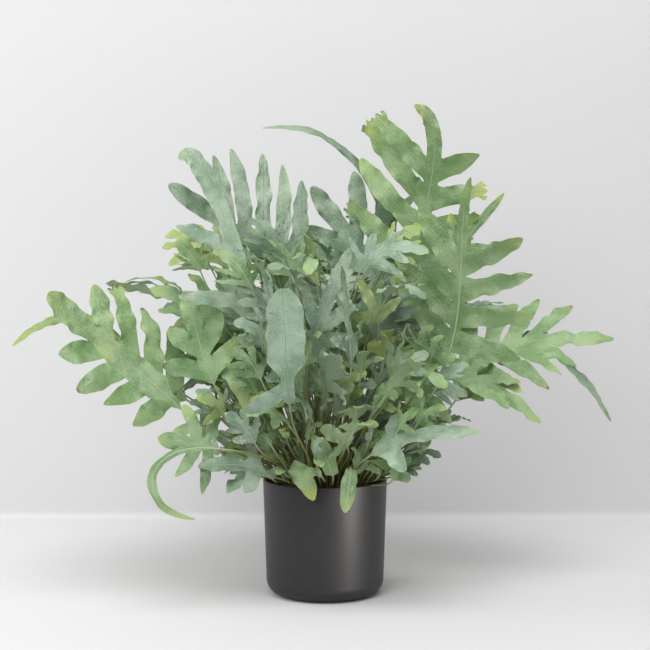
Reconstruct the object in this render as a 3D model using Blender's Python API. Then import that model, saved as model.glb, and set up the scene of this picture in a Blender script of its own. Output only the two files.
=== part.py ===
"""A potted blue star fern, in metres, +Z up, with its origin at the centre of the pot's underside.

A turned pot holds a plug of soil. Every frond is one thin solid: a stalk that stands in its own hole in the
soil, and a blade cut almost to its rib into wavy lobes. Small fronds grow as pairs whose stalks fork at the
soil. The fronds seen from the front are placed first. Each one is swung about its own foot until it is clear
of those already standing.
"""

import copy
import math
import random

import bpy
import numpy as np
from mathutils.bvhtree import BVHTree

# Pot
POT_RADIUS = 0.075
POT_HEIGHT = 0.140
POT_FOOT_RADIUS = 0.0525
POT_CORNER = 0.018
POT_TAPER = 0.0045
POT_WALL = 0.0030
POT_FLOOR = 0.0040
POT_SIDES = 32

# Soil
SOIL_TOP = 0.127
SOIL_GAP = 0.0004
HOLE_DEPTH = 0.014
HOLE_GAP = 0.0003
HOLE_SPACING = 0.0062

# Fronds
STALK = 0.0022
BLADE = 0.0007
CUP = 0.16
STALK_STEPS = 4
FOOT_RISE = 0.0015
FOOT_NEAR = 0.008
FOOT_FAR = 0.050
FOOT_REACH = 0.22
FOOT_LEAN = 1.1
LOBE_STATIONS = (0.28, 0.62, 0.90)
SHORT_LOBE_STATIONS = (0.38, 0.84)
SHORT_LOBE = 0.092
TAIL_STATIONS = (0.28, 0.62, 0.90)
STRAP_STATIONS = (0.11, 0.27, 0.43, 0.59, 0.75, 0.90)
LONG_TAIL = 0.078
TAIL_SPREAD = 0.024
LOBE_STEPS = 16

# Finding room: the air kept between fronds, how often one frond is swung and drawn again, how far its foot may
# slide, the share of its lobes it may lose, and the ways a lobe is bent aside (droop, size, angle)
CLEARANCE = 0.0010
TRIES = 24
REDRAWS = 14
SLIDE = 0.016
LOST_LOBES = 0.40
LOBE_BENDS = (
    (0.0, 1.0, 0.0),
    (0.4, 1.0, 0.0),
    (-0.4, 1.0, 0.0),
    (0.9, 0.95, 0.1),
    (-0.8, 0.95, -0.1),
    (0.3, 0.78, 0.1),
    (-0.3, 0.78, -0.1),
    (0.0, 0.6, 0.0),
)

TINTS = {
    "blue": ((0.30, 0.44, 0.36, 1.0), 0.55),
    "green": ((0.30, 0.47, 0.25, 1.0), 0.50),
    "lime": ((0.48, 0.58, 0.18, 1.0), 0.50),
}
POT_COLOUR = (0.045, 0.043, 0.045, 1.0)
SOIL_COLOUR = (0.05, 0.032, 0.022, 1.0)

UP = np.array((0.0, 0.0, 1.0))


def unit(v):
    return v / np.linalg.norm(v, axis=-1, keepdims=True)


def smooth(x):
    x = np.clip(x, 0.0, 1.0)
    return x * x * (3 - 2 * x)


def bezier(corners, t):
    """Places and unit tangents at t along a cubic curve."""
    a, b, c, d = (np.asarray(p, float) for p in corners)
    t = np.atleast_1d(np.asarray(t, float))[:, None]
    s = 1 - t
    place = a * s**3 + b * 3 * s * s * t + c * 3 * s * t * t + d * t**3
    slope = (b - a) * s * s + (c - b) * 2 * s * t + (d - c) * t * t
    return place, unit(slope)


def turned_about(angle, axis):
    """The matrix of a turn about an axis."""
    x, y, z = unit(np.asarray(axis, float))
    c, s = math.cos(angle), math.sin(angle)
    return np.array(
        (
            (c + x * x * (1 - c), x * y * (1 - c) - z * s, x * z * (1 - c) + y * s),
            (y * x * (1 - c) + z * s, c + y * y * (1 - c), y * z * (1 - c) - x * s),
            (z * x * (1 - c) - y * s, z * y * (1 - c) + x * s, c + z * z * (1 - c)),
        )
    )


class Frond:
    """One frond: base and tip of its blade, the way it faces, and the size and number of its lobes."""

    def __init__(self, name, tint, base, tip, face, pairs, long, wide, angle=57, rise=0.02, sag=0.2,
                 bends=None, wing=None, tail=None, tail_wide=None, wave=0.0022, lop=0.0, skew=0, share=0.90,
                 sides=(1, -1), lively=0.55, arch=0.30, blunt=5, seed=1):
        self.name, self.tint, self.pairs = name, tint, pairs
        self.base, self.tip, self.face = (np.array(p, float) for p in (base, tip, face))
        self.long, self.wide, self.angle = long, wide, math.radians(angle)
        self.sag, self.wave, self.lop, self.seed = sag, wave, lop, seed
        self.skew, self.share, self.sides, self.lively = math.radians(skew), share, sides, lively
        self.arch, self.blunt = arch, blunt
        self.wing = wing if wing else 0.34 * wide
        self.tail_wide = tail_wide if tail_wide else wide
        self.chord = float(np.linalg.norm(self.tip - self.base))
        self.tail = tail if tail else min(0.75, 0.95 * long / self.chord)
        out = math.hypot(*self.base[:2])
        reach = FOOT_NEAR + (FOOT_FAR - FOOT_NEAR) * min(1.0, out / FOOT_REACH)
        reach = max(reach, min(FOOT_FAR, out - FOOT_LEAN * (self.base[2] - SOIL_TOP)))
        self.foot = np.array((*(self.base[:2] / max(out, 1e-6) * reach), SOIL_TOP + FOOT_RISE))
        self.bends = [np.array(p, float) for p in bends] if bends else easy_bends(self, rise)
        plan(self)


def easy_bends(frond, rise):
    """The two middle corners of the blade's curve: it leaves along the stalk and comes over at the tip."""
    along = unit(frond.tip - frond.base)
    first = unit(0.45 * unit(frond.base - frond.foot) + 0.75 * along)
    lift = UP * rise
    return [frond.base + first * frond.chord * 0.34 + lift, frond.tip - along * frond.chord * 0.33 + lift]


def plan(frond):
    """Where each pair of lobes roots, as shares of the blade's length, and each lobe's own habit."""
    start = 0.06
    end = 1 - frond.tail
    step = (end - start) / max(frond.pairs, 1)
    gap = 0.5 * (1 - frond.share) * step
    frond.end = end if frond.pairs else 0.12
    frond.roots = [(start + i * step + gap, start + (i + 1) * step - gap) for i in range(frond.pairs)]
    if gap == 0:
        marks = [start + i * step for i in range(frond.pairs)] + [frond.end]
        frond.roots = list(zip(marks, marks[1:]))
    frond.start = frond.roots[0][0] if frond.pairs else 0.08
    room = frond.chord * step * math.sin(frond.angle) * 0.97
    frond.lobe_wide = min(frond.wide, room) if frond.pairs else frond.wide
    draw = random.Random(frond.seed)
    tips = random.Random(frond.seed + 1)
    frond.habits = {}
    for i in range(frond.pairs):
        share = i / max(frond.pairs - 1, 1)
        for side in frond.sides:
            size = (0.86 + 0.5 * share - 0.62 * share * share) * (1 + side * frond.lop)
            frond.habits[i, side] = {
                "long": frond.long * size * draw.uniform(0.90, 1.08),
                "angle": root_angle(frond, side, share) + draw.uniform(-0.06, 0.06),
                "sweep": draw.uniform(0.05, 0.75) * frond.lively,
                "droop": draw.uniform(-0.35, 0.65) * frond.lively,
                "twist": draw.uniform(-0.90, 0.90) * frond.lively,
                "phase": draw.uniform(0, 2 * math.pi),
                "arch": tips.uniform(0.3, 1.0) * frond.arch,
                "blunt": tips.choice((2.6, 3.4, 5.0, 6.0)),
            }
    frond.tail_phase = draw.uniform(0, 2 * math.pi)
    frond.spread = min(0.42, TAIL_SPREAD / (frond.chord * (1 - frond.end)))


def root_angle(frond, side, share):
    """The angle between a lobe and the rib: open at the foot of the blade, closing towards its tip."""
    return frond.angle - side * frond.skew + math.radians(14 - 24 * share)


def with_habits(frond, habits):
    """The same frond with other habits of its lobes."""
    other = copy.copy(frond)
    other.habits = habits
    return other


def calmed(frond):
    """The same frond with its lobes lying flatter and straighter."""
    calmer = {"droop": 0.6, "twist": 0.6, "sweep": 0.8, "arch": 0.7}
    return with_habits(frond, {
        key: {name: value * calmer.get(name, 1.0) for name, value in habit.items()}
        for key, habit in frond.habits.items()
    })


def swung(frond, turn, tilt, slide):
    """The same frond swung about its foot, with the foot slid by a little."""
    other = with_habits(frond, frond.habits)
    away = unit(np.append(frond.base[:2] - frond.foot[:2], 0.0) + 1e-9)
    matrix = turned_about(turn, UP) @ turned_about(tilt, np.cross(UP, away))
    shift = np.append(slide, 0.0)
    for key in ("base", "tip"):
        setattr(other, key, matrix @ (getattr(frond, key) - frond.foot) + frond.foot + shift)
    other.bends = [matrix @ (p - frond.foot) + frond.foot + shift for p in frond.bends]
    other.face = matrix @ frond.face
    other.foot = frond.foot + shift
    return other


def rib(frond, u):
    """Place, tangent, side and normal at u along the blade's rib."""
    place, tangent = bezier((frond.base, *frond.bends, frond.tip), u)
    normal = unit(frond.face - (tangent @ frond.face)[:, None] * tangent)
    return place, tangent, np.cross(normal, tangent), normal


def half_width(frond, u):
    """Half the width of the strip along the rib: stalk, then wing, then the end lobe."""
    u = np.asarray(u, float)
    x = np.clip((u - frond.end) / (1 - frond.end), 0, 1)
    wing = STALK / 2 + (frond.wing - STALK / 2) * smooth(u / frond.start)
    full = wing + (frond.tail_wide / 2 - wing) * smooth(x / frond.spread)
    return full * np.maximum(1 - x**frond.blunt, 0) ** 0.75


def strip(frond, u, across):
    """Places on the strip along the rib, at u along it and across from its right (-1) to its left (1)."""
    place, tangent, side, normal = rib(frond, u)
    half = half_width(frond, u)
    x = np.clip((np.asarray(u) - frond.end) / (1 - frond.end), 0, 1)
    c = np.asarray(across, float)[None, :]
    ripple = np.sin(2 * math.pi * 2.2 * x[:, None] + frond.tail_phase + 1.3 * (c > 0))
    wave = frond.wave * ripple * smooth(x / 0.3)[:, None] * (1 - x[:, None] ** 4)
    lift = CUP * half[:, None] * np.abs(c) + wave * c * c
    flat = place[:, None] + side[:, None] * (half[:, None] * c)[..., None]
    return flat + normal[:, None] * lift[..., None]


def lobe(frond, index, side, v, across, habit=None):
    """Places on one lobe, at v from its root to its tip and across from its rear edge to its front one."""
    habit = habit or frond.habits[index, side]
    rear, front = strip(frond, np.array(frond.roots[index]), [side])[:, 0]
    _, tangent, out, normal = (a[0] for a in rib(frond, np.array([sum(frond.roots[index]) / 2])))
    steps = (np.arange(LOBE_STEPS) + 0.5) / LOBE_STEPS
    angle = habit["angle"] - habit["sweep"] * steps
    fall = (habit["droop"] + frond.sag) * steps**1.3 - habit["arch"] * (1 - 1.7 * steps)
    heading = np.outer(np.cos(angle), tangent) + np.outer(np.sin(angle) * side, out)
    heading = unit(heading - np.outer(0.70 * fall, normal) - np.outer(0.50 * fall, UP))
    run = np.vstack((np.zeros(3), np.cumsum(heading, 0))) * habit["long"] / LOBE_STEPS
    v = np.asarray(v, float)
    at = np.linspace(0, 1, LOBE_STEPS + 1)
    centre = (rear + front) / 2 + np.stack([np.interp(v, at, run[:, k]) for k in range(3)], -1)
    way = unit(np.stack([np.interp(v, steps, heading[:, k]) for k in range(3)], -1))
    flat = unit(-side * np.cross(normal, way))
    top = side * np.cross(flat, way)
    roll = (habit["twist"] * v**1.5)[:, None]
    flat, top = flat * np.cos(roll) + top * np.sin(roll), top * np.cos(roll) - flat * np.sin(roll)
    taper = np.maximum(1 - v ** habit["blunt"], 0) ** 0.75
    wide = frond.lobe_wide / 2 * (0.88 + 0.12 * np.sin(math.pi * v**1.2)) * taper
    blend = smooth(v / 0.22)[:, None]
    half = (1 - blend) * (front - rear) / 2 + blend * wide[:, None] * flat
    c = np.asarray(across, float)[None, :]
    wave = frond.wave * np.sin(2 * math.pi * 2.6 * v[:, None] + habit["phase"] + 1.9 * (c > 0))
    lift = (CUP * wide[:, None] * np.abs(c) + wave * c * c * (1 - v[:, None] ** 4)) * blend
    return centre[:, None] + half[:, None] * c[..., None] + top[:, None] * lift[..., None]


def stalk(frond, steps):
    """The stalk's stations above the soil, up to the blade: places and sides."""
    _, tangent, _, _ = rib(frond, np.zeros(1))
    gap = frond.base - frond.foot
    far = np.linalg.norm(gap)
    lean = unit(0.55 * UP + 0.45 * gap / far)
    corners = (frond.foot, frond.foot + lean * far * 0.36, frond.base - tangent[0] * far * 0.30, frond.base)
    place, way = bezier(corners, np.arange(1, steps) / steps)
    face = unit(frond.face - (way @ frond.face)[:, None] * way)
    return place, np.cross(face, way)


def foot_side(frond):
    """The way across the stalk where it stands in the soil."""
    return unit(np.cross(frond.face - (UP @ frond.face) * UP, UP))


class Sheet:
    """A surface being sewn: points, triangles, and how far each point belongs to the stalk."""

    def __init__(self):
        self.points, self.faces, self.stem = [], [], []

    def add(self, points, stem=0.0):
        first = len(self.points)
        self.points.extend(points)
        self.stem.extend([stem] * len(points))
        return list(range(first, first + len(points)))

    def join(self, near, far, flip=False):
        """Triangles between two rows of points, of the same length or down to one."""
        if len(far) == 1:
            far = far * len(near)
        for a, b, c, d in zip(near, near[1:], far[1:], far):
            pieces = [(a, b, c), (a, c, d)] if c != d else [(a, b, c)]
            self.faces.extend(p[::-1] if flip else p for p in pieces)

    def arrays(self):
        return np.array(self.points), np.array(self.faces), np.array(self.stem)


def foot_rows(group):
    """The points across the foot of one stalk, or of a forking pair: in the hole, and at its mouth."""
    side = unit(sum(foot_side(frond) for frond in group))
    group.sort(key=lambda frond: frond.base @ side)
    across = (np.arange(len(group) + 1) - len(group) / 2) * STALK
    mouth = group[0].foot + across[:, None] * side
    return mouth - UP * (HOLE_DEPTH + FOOT_RISE), mouth


def sheet_of(group):
    """The middle surface of a frond, or of a forking pair, from the foot of the stalk to the tips."""
    sheet = Sheet()
    low, mouth = (sheet.add(list(row), 1.0) for row in foot_rows(group))
    sheet.join(low, mouth)
    for index, frond in enumerate(group):
        sew(sheet, frond, mouth[index:index + 2])
    return sheet.arrays()


def sew(sheet, frond, near):
    """Adds one frond's stalk, rib strip and lobes to the sheet, on from the stalk's foot."""
    for p, s in zip(*stalk(frond, STALK_STEPS)):
        row = sheet.add([p - s * STALK / 2, p + s * STALK / 2], 1.0)
        sheet.join(near, row)
        near = row
    tail = np.linalg.norm(np.diff(rib(frond, np.linspace(frond.end, 1, 9))[0], axis=0), axis=1).sum()
    shares = STRAP_STATIONS if tail > LONG_TAIL else TAIL_STATIONS
    stations = sorted({0.0, *(u for pair in frond.roots for u in pair), frond.end})
    rows = {}
    for u in stations + [frond.end + (1 - frond.end) * x for x in shares]:
        points = strip(frond, np.array([u]), [-1, 0, 1])[0]
        row = sheet.add(points)
        sheet.stem[row[1]] = 0.55 * (1 - u) + 0.12
        rows[u] = row
        if u == 0.0:
            for k in row:
                sheet.stem[k] = 1.0
            left, right = near
            sheet.faces.extend([(left, right, row[1]), (left, row[1], row[0]), (right, row[2], row[1])])
        else:
            sheet.join(near, row)
        near = row
    sheet.join(near, sheet.add(strip(frond, np.array([1.0]), [0])[0]))
    for index, (rear, front) in enumerate(frond.roots):
        for side in (1, -1):
            if (index, side) in frond.habits:
                edge = 2 if side == 1 else 0
                sew_lobe(sheet, frond, index, side, [rows[rear][edge], rows[front][edge]])


def swollen(points, faces, thick, margin=0.0):
    """The closed shell round a sheet: points moved out by their own thickness, and the edge by the margin."""
    a, b, c = (points[faces[:, k]] for k in range(3))
    flat = np.cross(b - a, c - a)
    normals = np.zeros_like(points)
    for k in range(3):
        np.add.at(normals, faces[:, k], flat)
    normals = unit(normals + 1e-12)
    ends = np.vstack([faces[:, [k, (k + 1) % 3]] for k in range(3)])
    owner = np.tile(np.arange(len(faces)), 3)
    code = ends.min(1) * len(points) + ends.max(1)
    _, first, count = np.unique(code, return_index=True, return_counts=True)
    rim = ends[first[count == 1]]
    outward = np.cross(points[rim[:, 1]] - points[rim[:, 0]], unit(flat[owner[first[count == 1]]] + 1e-15))
    push = np.zeros_like(points)
    for k in range(2):
        np.add.at(push, rim[:, k], outward)
    grown = points + margin * push / np.maximum(np.linalg.norm(push, axis=1, keepdims=True), 1e-9)
    skins = np.vstack((grown + normals * thick[:, None], grown - normals * thick[:, None]))
    n = len(points)
    walls = np.vstack((np.column_stack((rim, rim[:, 1] + n)), np.column_stack((rim[:, 0], rim + n))))
    return skins, np.vstack((faces, faces[:, ::-1] + n, walls))


def sew_lobe(sheet, frond, index, side, near, habit=None):
    """Adds one lobe to the sheet, on from the two points at its root."""
    habit = habit or frond.habits[index, side]
    for v in SHORT_LOBE_STATIONS if habit["long"] < SHORT_LOBE else LOBE_STATIONS:
        row = sheet.add(lobe(frond, index, side, [v], [-1, 1], habit)[0])
        sheet.join(near, row, flip=side == 1)
        near = row
    sheet.join(near, sheet.add(lobe(frond, index, side, [1.0], [0], habit)[0]), flip=side == 1)


def crosses_itself(points, faces, stem):
    """True where lobes of one frond run into each other."""
    thick = (BLADE + (STALK - BLADE) * stem) / 2 + 0.0002
    skins, skin_faces = swollen(points, faces, thick)
    tree = BVHTree.FromPolygons(skins.tolist(), skin_faces.tolist(), all_triangles=True)
    pairs = np.array(tree.overlap(tree))
    if not len(pairs):
        return False
    one, other = (skin_faces[pairs[:, k]] % len(points) for k in range(2))
    touching = (one[:, :, None] == other[:, None, :]).any((1, 2))
    return bool((~touching).any())


class Clump:
    """What already stands, for finding room for the next frond."""

    def __init__(self):
        self.placed = []
        self.feet = []

    def has_footing(self, foot):
        """True where a hole for this stalk stays inside the soil and apart from the holes already made."""
        if math.hypot(*foot[:2]) > FOOT_FAR + 0.008:
            return False
        return all(math.hypot(*(foot - other)[:2]) > HOLE_SPACING for other in self.feet)

    def add(self, points, faces):
        tree = BVHTree.FromPolygons(points.tolist(), faces.tolist(), all_triangles=True)
        self.placed.append((tree, points.min(0), points.max(0)))

    def clear(self, points, faces):
        low, high = points.min(0), points.max(0)
        tree = BVHTree.FromPolygons(points.tolist(), faces.tolist(), all_triangles=True)
        for other, other_low, other_high in reversed(self.placed):
            if (low < other_high).all() and (high > other_low).all() and tree.overlap(other):
                return False
        return True


def above_soil(points, stem):
    """True where the blade keeps off the soil and everything outside the pot keeps off the floor."""
    blade = points[stem < 0.99]
    inside = np.hypot(blade[:, 0], blade[:, 1]) < POT_RADIUS
    return (blade[inside, 2] > SOIL_TOP + 0.004).all() and (blade[:, 2] > 0.03).all()


def skins_of(points, faces, stem):
    """What another frond has to keep clear of."""
    return swollen(points, faces, (BLADE + (STALK - BLADE) * stem + CLEARANCE) / 2, CLEARANCE / 2)


def fitted(frond, clump):
    """The frond with each lobe bent or shortened until it is clear, and left off where it never is."""
    habits = {}
    for (index, side), habit in frond.habits.items():
        for droop, size, angle in LOBE_BENDS:
            bent = dict(habit, droop=habit["droop"] + droop, angle=habit["angle"] + angle)
            bent["long"] *= size
            sheet = Sheet()
            root = sheet.add(lobe(frond, index, side, [0.0], [-1, 1], bent)[0])
            sew_lobe(sheet, frond, index, side, root, bent)
            if clump.clear(*skins_of(*sheet.arrays())):
                habits[index, side] = bent
                break
    return with_habits(frond, habits)


def settle(group, clump, freedom, lost=LOST_LOBES):
    """The frond or pair, swung and bent as little as need be to stand clear, with its sheet, or None."""
    draw = random.Random(group[0].seed + 100)
    for _ in range(5):
        if crosses_itself(*sheet_of(group)):
            group = [calmed(frond) for frond in group]
    lobes = sum(len(frond.habits) for frond in group)
    for k in range(TRIES):
        reach = freedom * k / TRIES
        turn = math.radians(reach * draw.uniform(-1, 1))
        tilt = math.radians(0.4 * reach * draw.uniform(-1, 1))
        slide = np.array([SLIDE * k / TRIES * draw.uniform(-1, 1) for _ in range(2)])
        trial = [swung(frond, turn, tilt, slide) for frond in group]
        if not clump.has_footing(trial[0].foot):
            continue
        if not clump.clear(*skins_of(*sheet_of([with_habits(frond, {}) for frond in trial]))):
            continue
        trial = [fitted(frond, clump) for frond in trial]
        if sum(len(frond.habits) for frond in trial) < lobes * (1 - lost):
            continue
        sheet = sheet_of(trial)
        skins = skins_of(*sheet)
        if above_soil(sheet[0], sheet[2]) and not crosses_itself(*sheet) and clump.clear(*skins):
            clump.add(*skins)
            clump.feet.append(trial[0].foot)
            return trial, sheet
    return None


# Fronds seen from the front, each from its place in the plant: the blade's base and tip, the way it faces,
# the pairs of lobes, and the length and width of a lobe.
SHOWN = [
    Frond("frond_front_shield", "blue", (-0.039, -0.170, 0.248), (-0.045, -0.178, 0.380), (0.0, -1.0, 0.06), 1,
          0.058, 0.021, angle=112, rise=0.0, sag=0.1, tail=0.78, tail_wide=0.042, wave=0.0018, sides=(1,),
          blunt=9, seed=11),
    Frond("frond_right_fan", "green", (0.143, -0.020, 0.281), (0.162, -0.150, 0.501), (0.0, -0.80, 0.60), 4,
          0.106, 0.031, angle=60, skew=16, rise=0.0, sag=0.30, tail=0.42, tail_wide=0.012, wing=0.006,
          lop=0.08, arch=0.7, seed=12,
          bends=((0.172, -0.030, 0.355), (0.146, -0.105, 0.445))),
    Frond("frond_left_fan", "green", (-0.166, -0.010, 0.236), (-0.315, -0.110, 0.371), (0.1, -0.80, 0.50), 4,
          0.080, 0.031, angle=57, rise=0.0, sag=0.05, tail=0.34, lop=-0.10, seed=13,
          bends=((-0.208, -0.018, 0.262), (-0.290, -0.080, 0.330))),
    Frond("frond_left_far_whip", "lime", (-0.236, 0.010, 0.296), (-0.372, -0.020, 0.302), (-0.1, -0.8, 0.6), 0,
          0.10, 0.013, rise=0.045, seed=36),
    Frond("frond_left_front", "green", (-0.166, -0.085, 0.234), (-0.263, -0.120, 0.317), (0.05, -0.9, 0.35), 0,
          0.05, 0.031, rise=0.006, wing=0.006, seed=14),
    Frond("frond_left_middle", "green", (-0.129, -0.070, 0.261), (-0.163, -0.062, 0.371), (0.0, -0.9, 0.35), 2,
          0.052, 0.024, angle=56, rise=0.0, sag=0.1, tail=0.46, seed=37),
    Frond("frond_upper_left_fan", "blue", (-0.022, 0.020, 0.384), (-0.184, -0.040, 0.495),
          (0.05, -0.97, 0.2), 5, 0.108, 0.024, angle=60, rise=0.0, sag=0.0, tail=0.36, tail_wide=0.022,
          sides=(-1,), lively=0.35, arch=0.1, seed=15,
          bends=((-0.072, 0.016, 0.412), (-0.142, -0.020, 0.462))),
    Frond("frond_upper_left_strap", "blue", (-0.074, -0.060, 0.318), (-0.170, -0.060, 0.522), (0.35, -0.9, 0.2), 2,
          0.098, 0.019, angle=62, rise=0.0, sag=0.05, tail=0.52, tail_wide=0.024, wing=0.009, wave=0.003,
          sides=(1,), seed=16, bends=((-0.093, -0.060, 0.383), (-0.143, -0.030, 0.560))),
    Frond("frond_top_fan", "green", (0.107, 0.060, 0.378), (0.104, -0.030, 0.587), (-0.1, -0.92, 0.35), 4,
          0.094, 0.030, angle=63, skew=5, rise=0.0, sag=0.05, tail=0.40, tail_wide=0.018, wing=0.009, lop=0.20,
          seed=17,
          bends=((0.117, 0.050, 0.458), (0.158, 0.000, 0.571))),
    Frond("frond_top_whip", "blue", (0.088, 0.100, 0.400), (-0.079, 0.040, 0.563), (-0.2, -0.8, 0.5), 1,
          0.060, 0.012, angle=50, tail=0.72, tail_wide=0.009, sag=0.2, seed=18,
          bends=((0.072, 0.090, 0.500), (0.020, 0.060, 0.580))),
    Frond("frond_upper_middle", "blue", (0.074, 0.080, 0.350), (-0.016, 0.060, 0.494), (0.0, -1.0, 0.15), 3,
          0.100, 0.029, angle=50, rise=0.0, sag=0.0, tail=0.38, tail_wide=0.024, lively=0.4, seed=19),
    Frond("frond_right_curl", "green", (0.150, 0.020, 0.400), (0.215, 0.000, 0.485), (0.2, -0.9, 0.3), 1,
          0.045, 0.013, angle=45, rise=0.0, sag=0.2, tail=0.60, tail_wide=0.010, seed=38),
    Frond("frond_right_reach", "green", (0.157, 0.050, 0.268), (0.356, 0.040, 0.306), (0.1, -0.62, 0.75), 4,
          0.090, 0.024, angle=55, rise=0.012, sag=0.2, tail=0.42, seed=20),
    Frond("frond_right_whip", "blue", (0.176, 0.092, 0.270), (0.352, 0.030, 0.203), (0.2, -0.6, 0.8), 2,
          0.062, 0.013, angle=48, tail=0.62, sag=0.3, seed=21,
          bends=((0.245, 0.080, 0.330), (0.310, 0.050, 0.290))),
    Frond("frond_right_low", "green", (0.146, 0.000, 0.258), (0.254, -0.020, 0.206), (0.2, -0.5, 0.85), 2,
          0.056, 0.023, angle=42, rise=0.012, sag=0.2, tail=0.50, seed=22),
    Frond("frond_right_small", "green", (0.092, -0.028, 0.250), (0.148, -0.062, 0.214), (0.2, -0.7, 0.6), 1,
          0.040, 0.018, angle=50, rise=0.01, sag=0.2, tail=0.62, seed=23),
    Frond("frond_left_palm", "green", (-0.122, -0.100, 0.190), (-0.190, -0.128, 0.206), (0.1, -0.95, 0.3), 2,
          0.056, 0.021, angle=78, rise=0.0, sag=0.1, tail=0.50, seed=24),
    Frond("frond_left_whip", "green", (-0.132, -0.128, 0.196), (-0.149, -0.150, 0.119), (-0.4, -0.9, 0.2), 0,
          0.10, 0.011, rise=0.0, seed=25, bends=((-0.215, -0.130, 0.205), (-0.225, -0.140, 0.125))),
    Frond("frond_left_arch", "green", (-0.142, -0.010, 0.256), (-0.104, -0.105, 0.226), (-0.3, -0.7, 0.7), 0,
          0.10, 0.021, rise=0.034, seed=26),
    Frond("frond_rim_left", "blue", (-0.062, -0.088, 0.160), (-0.136, -0.128, 0.174), (0.0, -0.8, 0.6), 1,
          0.034, 0.020, angle=66, rise=0.008, tail=0.66, seed=27),
    Frond("frond_rim_front", "green", (-0.038, -0.082, 0.160), (-0.002, -0.104, 0.124), (-0.3, -0.9, 0.5), 0,
          0.05, 0.023, rise=0.010, seed=28),
    Frond("frond_rim_drop", "green", (0.030, -0.088, 0.165), (0.023, -0.106, 0.116), (0.1, -1.0, 0.3), 0,
          0.05, 0.019, rise=0.006, seed=29),
    Frond("frond_front_olive", "green", (0.009, -0.082, 0.156), (-0.012, -0.104, 0.206), (-0.2, -1.0, 0.3), 0,
          0.05, 0.024, rise=0.0, seed=39),
    Frond("frond_front_green", "green", (0.026, -0.086, 0.190), (-0.006, -0.118, 0.214), (-0.1, -0.9, 0.4), 1,
          0.030, 0.020, angle=70, rise=0.004, sag=0.1, tail=0.66, seed=40),
    Frond("frond_low_right", "blue", (0.050, -0.115, 0.182), (0.172, -0.160, 0.212), (0.0, -0.75, 0.65), 1,
          0.046, 0.023, angle=62, rise=0.010, tail=0.62, tail_wide=0.019, seed=30),
    Frond("frond_centre_spear", "blue", (-0.018, -0.100, 0.296), (0.029, -0.104, 0.422), (0.1, -1.0, 0.1), 2,
          0.052, 0.021, angle=50, rise=0.0, sag=0.05, tail=0.60, tail_wide=0.018, seed=31),
    Frond("frond_centre_ribbon", "blue", (0.038, -0.130, 0.284), (0.029, -0.148, 0.400), (0.9, -0.5, 0.1), 1,
          0.045, 0.016, angle=50, rise=0.0, tail=0.62, wave=0.003, seed=32),
    Frond("frond_centre_lime", "lime", (0.062, -0.066, 0.330), (0.040, -0.096, 0.384), (-0.1, -0.9, 0.4), 1,
          0.034, 0.016, angle=66, rise=0.0, sag=0.4, tail=0.60, tail_wide=0.014, seed=33),
    Frond("frond_centre_olive", "lime", (-0.010, 0.050, 0.372), (-0.029, 0.040, 0.446), (0.2, -0.9, 0.2), 0,
          0.05, 0.020, rise=0.0, seed=34),
    Frond("frond_right_shade", "green", (0.074, 0.040, 0.240), (0.066, 0.050, 0.360), (0.0, -0.9, 0.4), 3,
          0.084, 0.025, angle=55, rise=0.0, tail=0.42, seed=35),
]


# Rings of smaller fronds round the clump: name, tints, how many feet, fronds to a foot, the bearings they fill,
# the blade's base (out from the middle, and up), the blade's run (outward and upward), the length and width of a
# lobe, the pairs of lobes, how far one may swing to find room, and how much it faces the front.
MIXED = ("blue", "green", "blue")
RINGS = [
    ("bib", ("green", "blue"), 4, 2, (215, 325), (0.062, 0.175), (0.060, 0.030), (0.042, 0.023), 2, 60, 0.6),
    ("heart", MIXED, 5, 2, (190, 350), (0.070, 0.245), (0.070, 0.050), (0.050, 0.024), 2, 70, 0.6),
    ("front", MIXED, 5, 1, (195, 318), (0.095, 0.270), (0.100, 0.060), (0.070, 0.027), 3, 45, 0.5),
    ("crown", MIXED, 6, 1, (175, 385), (0.055, 0.300), (0.080, 0.085), (0.076, 0.030), 3, 50, 0.8),
    ("back", MIXED, 6, 1, (5, 175), (0.130, 0.315), (0.140, 0.060), (0.084, 0.029), 4, 35, 0.0),
    ("skirt", ("green", "blue"), 2, 2, (-10, 190), (0.095, 0.200), (0.090, 0.005), (0.050, 0.023), 2, 60, 0.1),
]
# A forking pair: how far apart the two bearings lie either side of the middle, and how far apart in height
FORK = 15
FORK_LIFT = 0.16


def ring_group(ring, index, again):
    """What stands on one foot of a ring: bearings by the golden angle, differences by a seeded draw."""
    label, tints, _, members, bearings, (out_by, up_by), (run, climb), (long, wide), pairs, _, front = ring
    draw = random.Random(f"{label} {index} {again}")
    share = ((index + 0.5) * 0.618034 + 0.11 * again) % 1.0
    middle = bearings[0] + (bearings[1] - bearings[0]) * share
    group = []
    for member in range(members):
        spread = (2 * member - 1) if members == 2 else 0
        bearing = math.radians(middle + spread * FORK * draw.uniform(0.8, 1.4))
        out = np.array((math.cos(bearing), math.sin(bearing), 0.0))
        size = draw.uniform(0.88, 1.12) * (1 - 0.02 * again)
        high = up_by * draw.uniform(0.88, 1.12) * (1 + spread * FORK_LIFT * draw.choice((-1, 1)))
        base = out * out_by * size + UP * high
        tip = base + out * run * size + UP * climb * draw.uniform(0.7, 1.3)
        across = np.cross(UP, out) * draw.uniform(-0.4, 0.4)
        face = unit(UP * 0.75 - out * draw.uniform(-0.5, 0.3) + across + np.array((0.0, -front, 0.0)))
        group.append(Frond(f"frond_{label}_{index + 1:02d}", tints[index % len(tints)], base, tip, face, pairs,
                           long * size, wide, rise=0.02, sag=draw.uniform(0.1, 0.4), share=1.0, lively=1.0,
                           seed=draw.randrange(10**6)))
    for frond in group:
        frond.foot = sum(other.foot for other in group) / members
    return group


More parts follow.
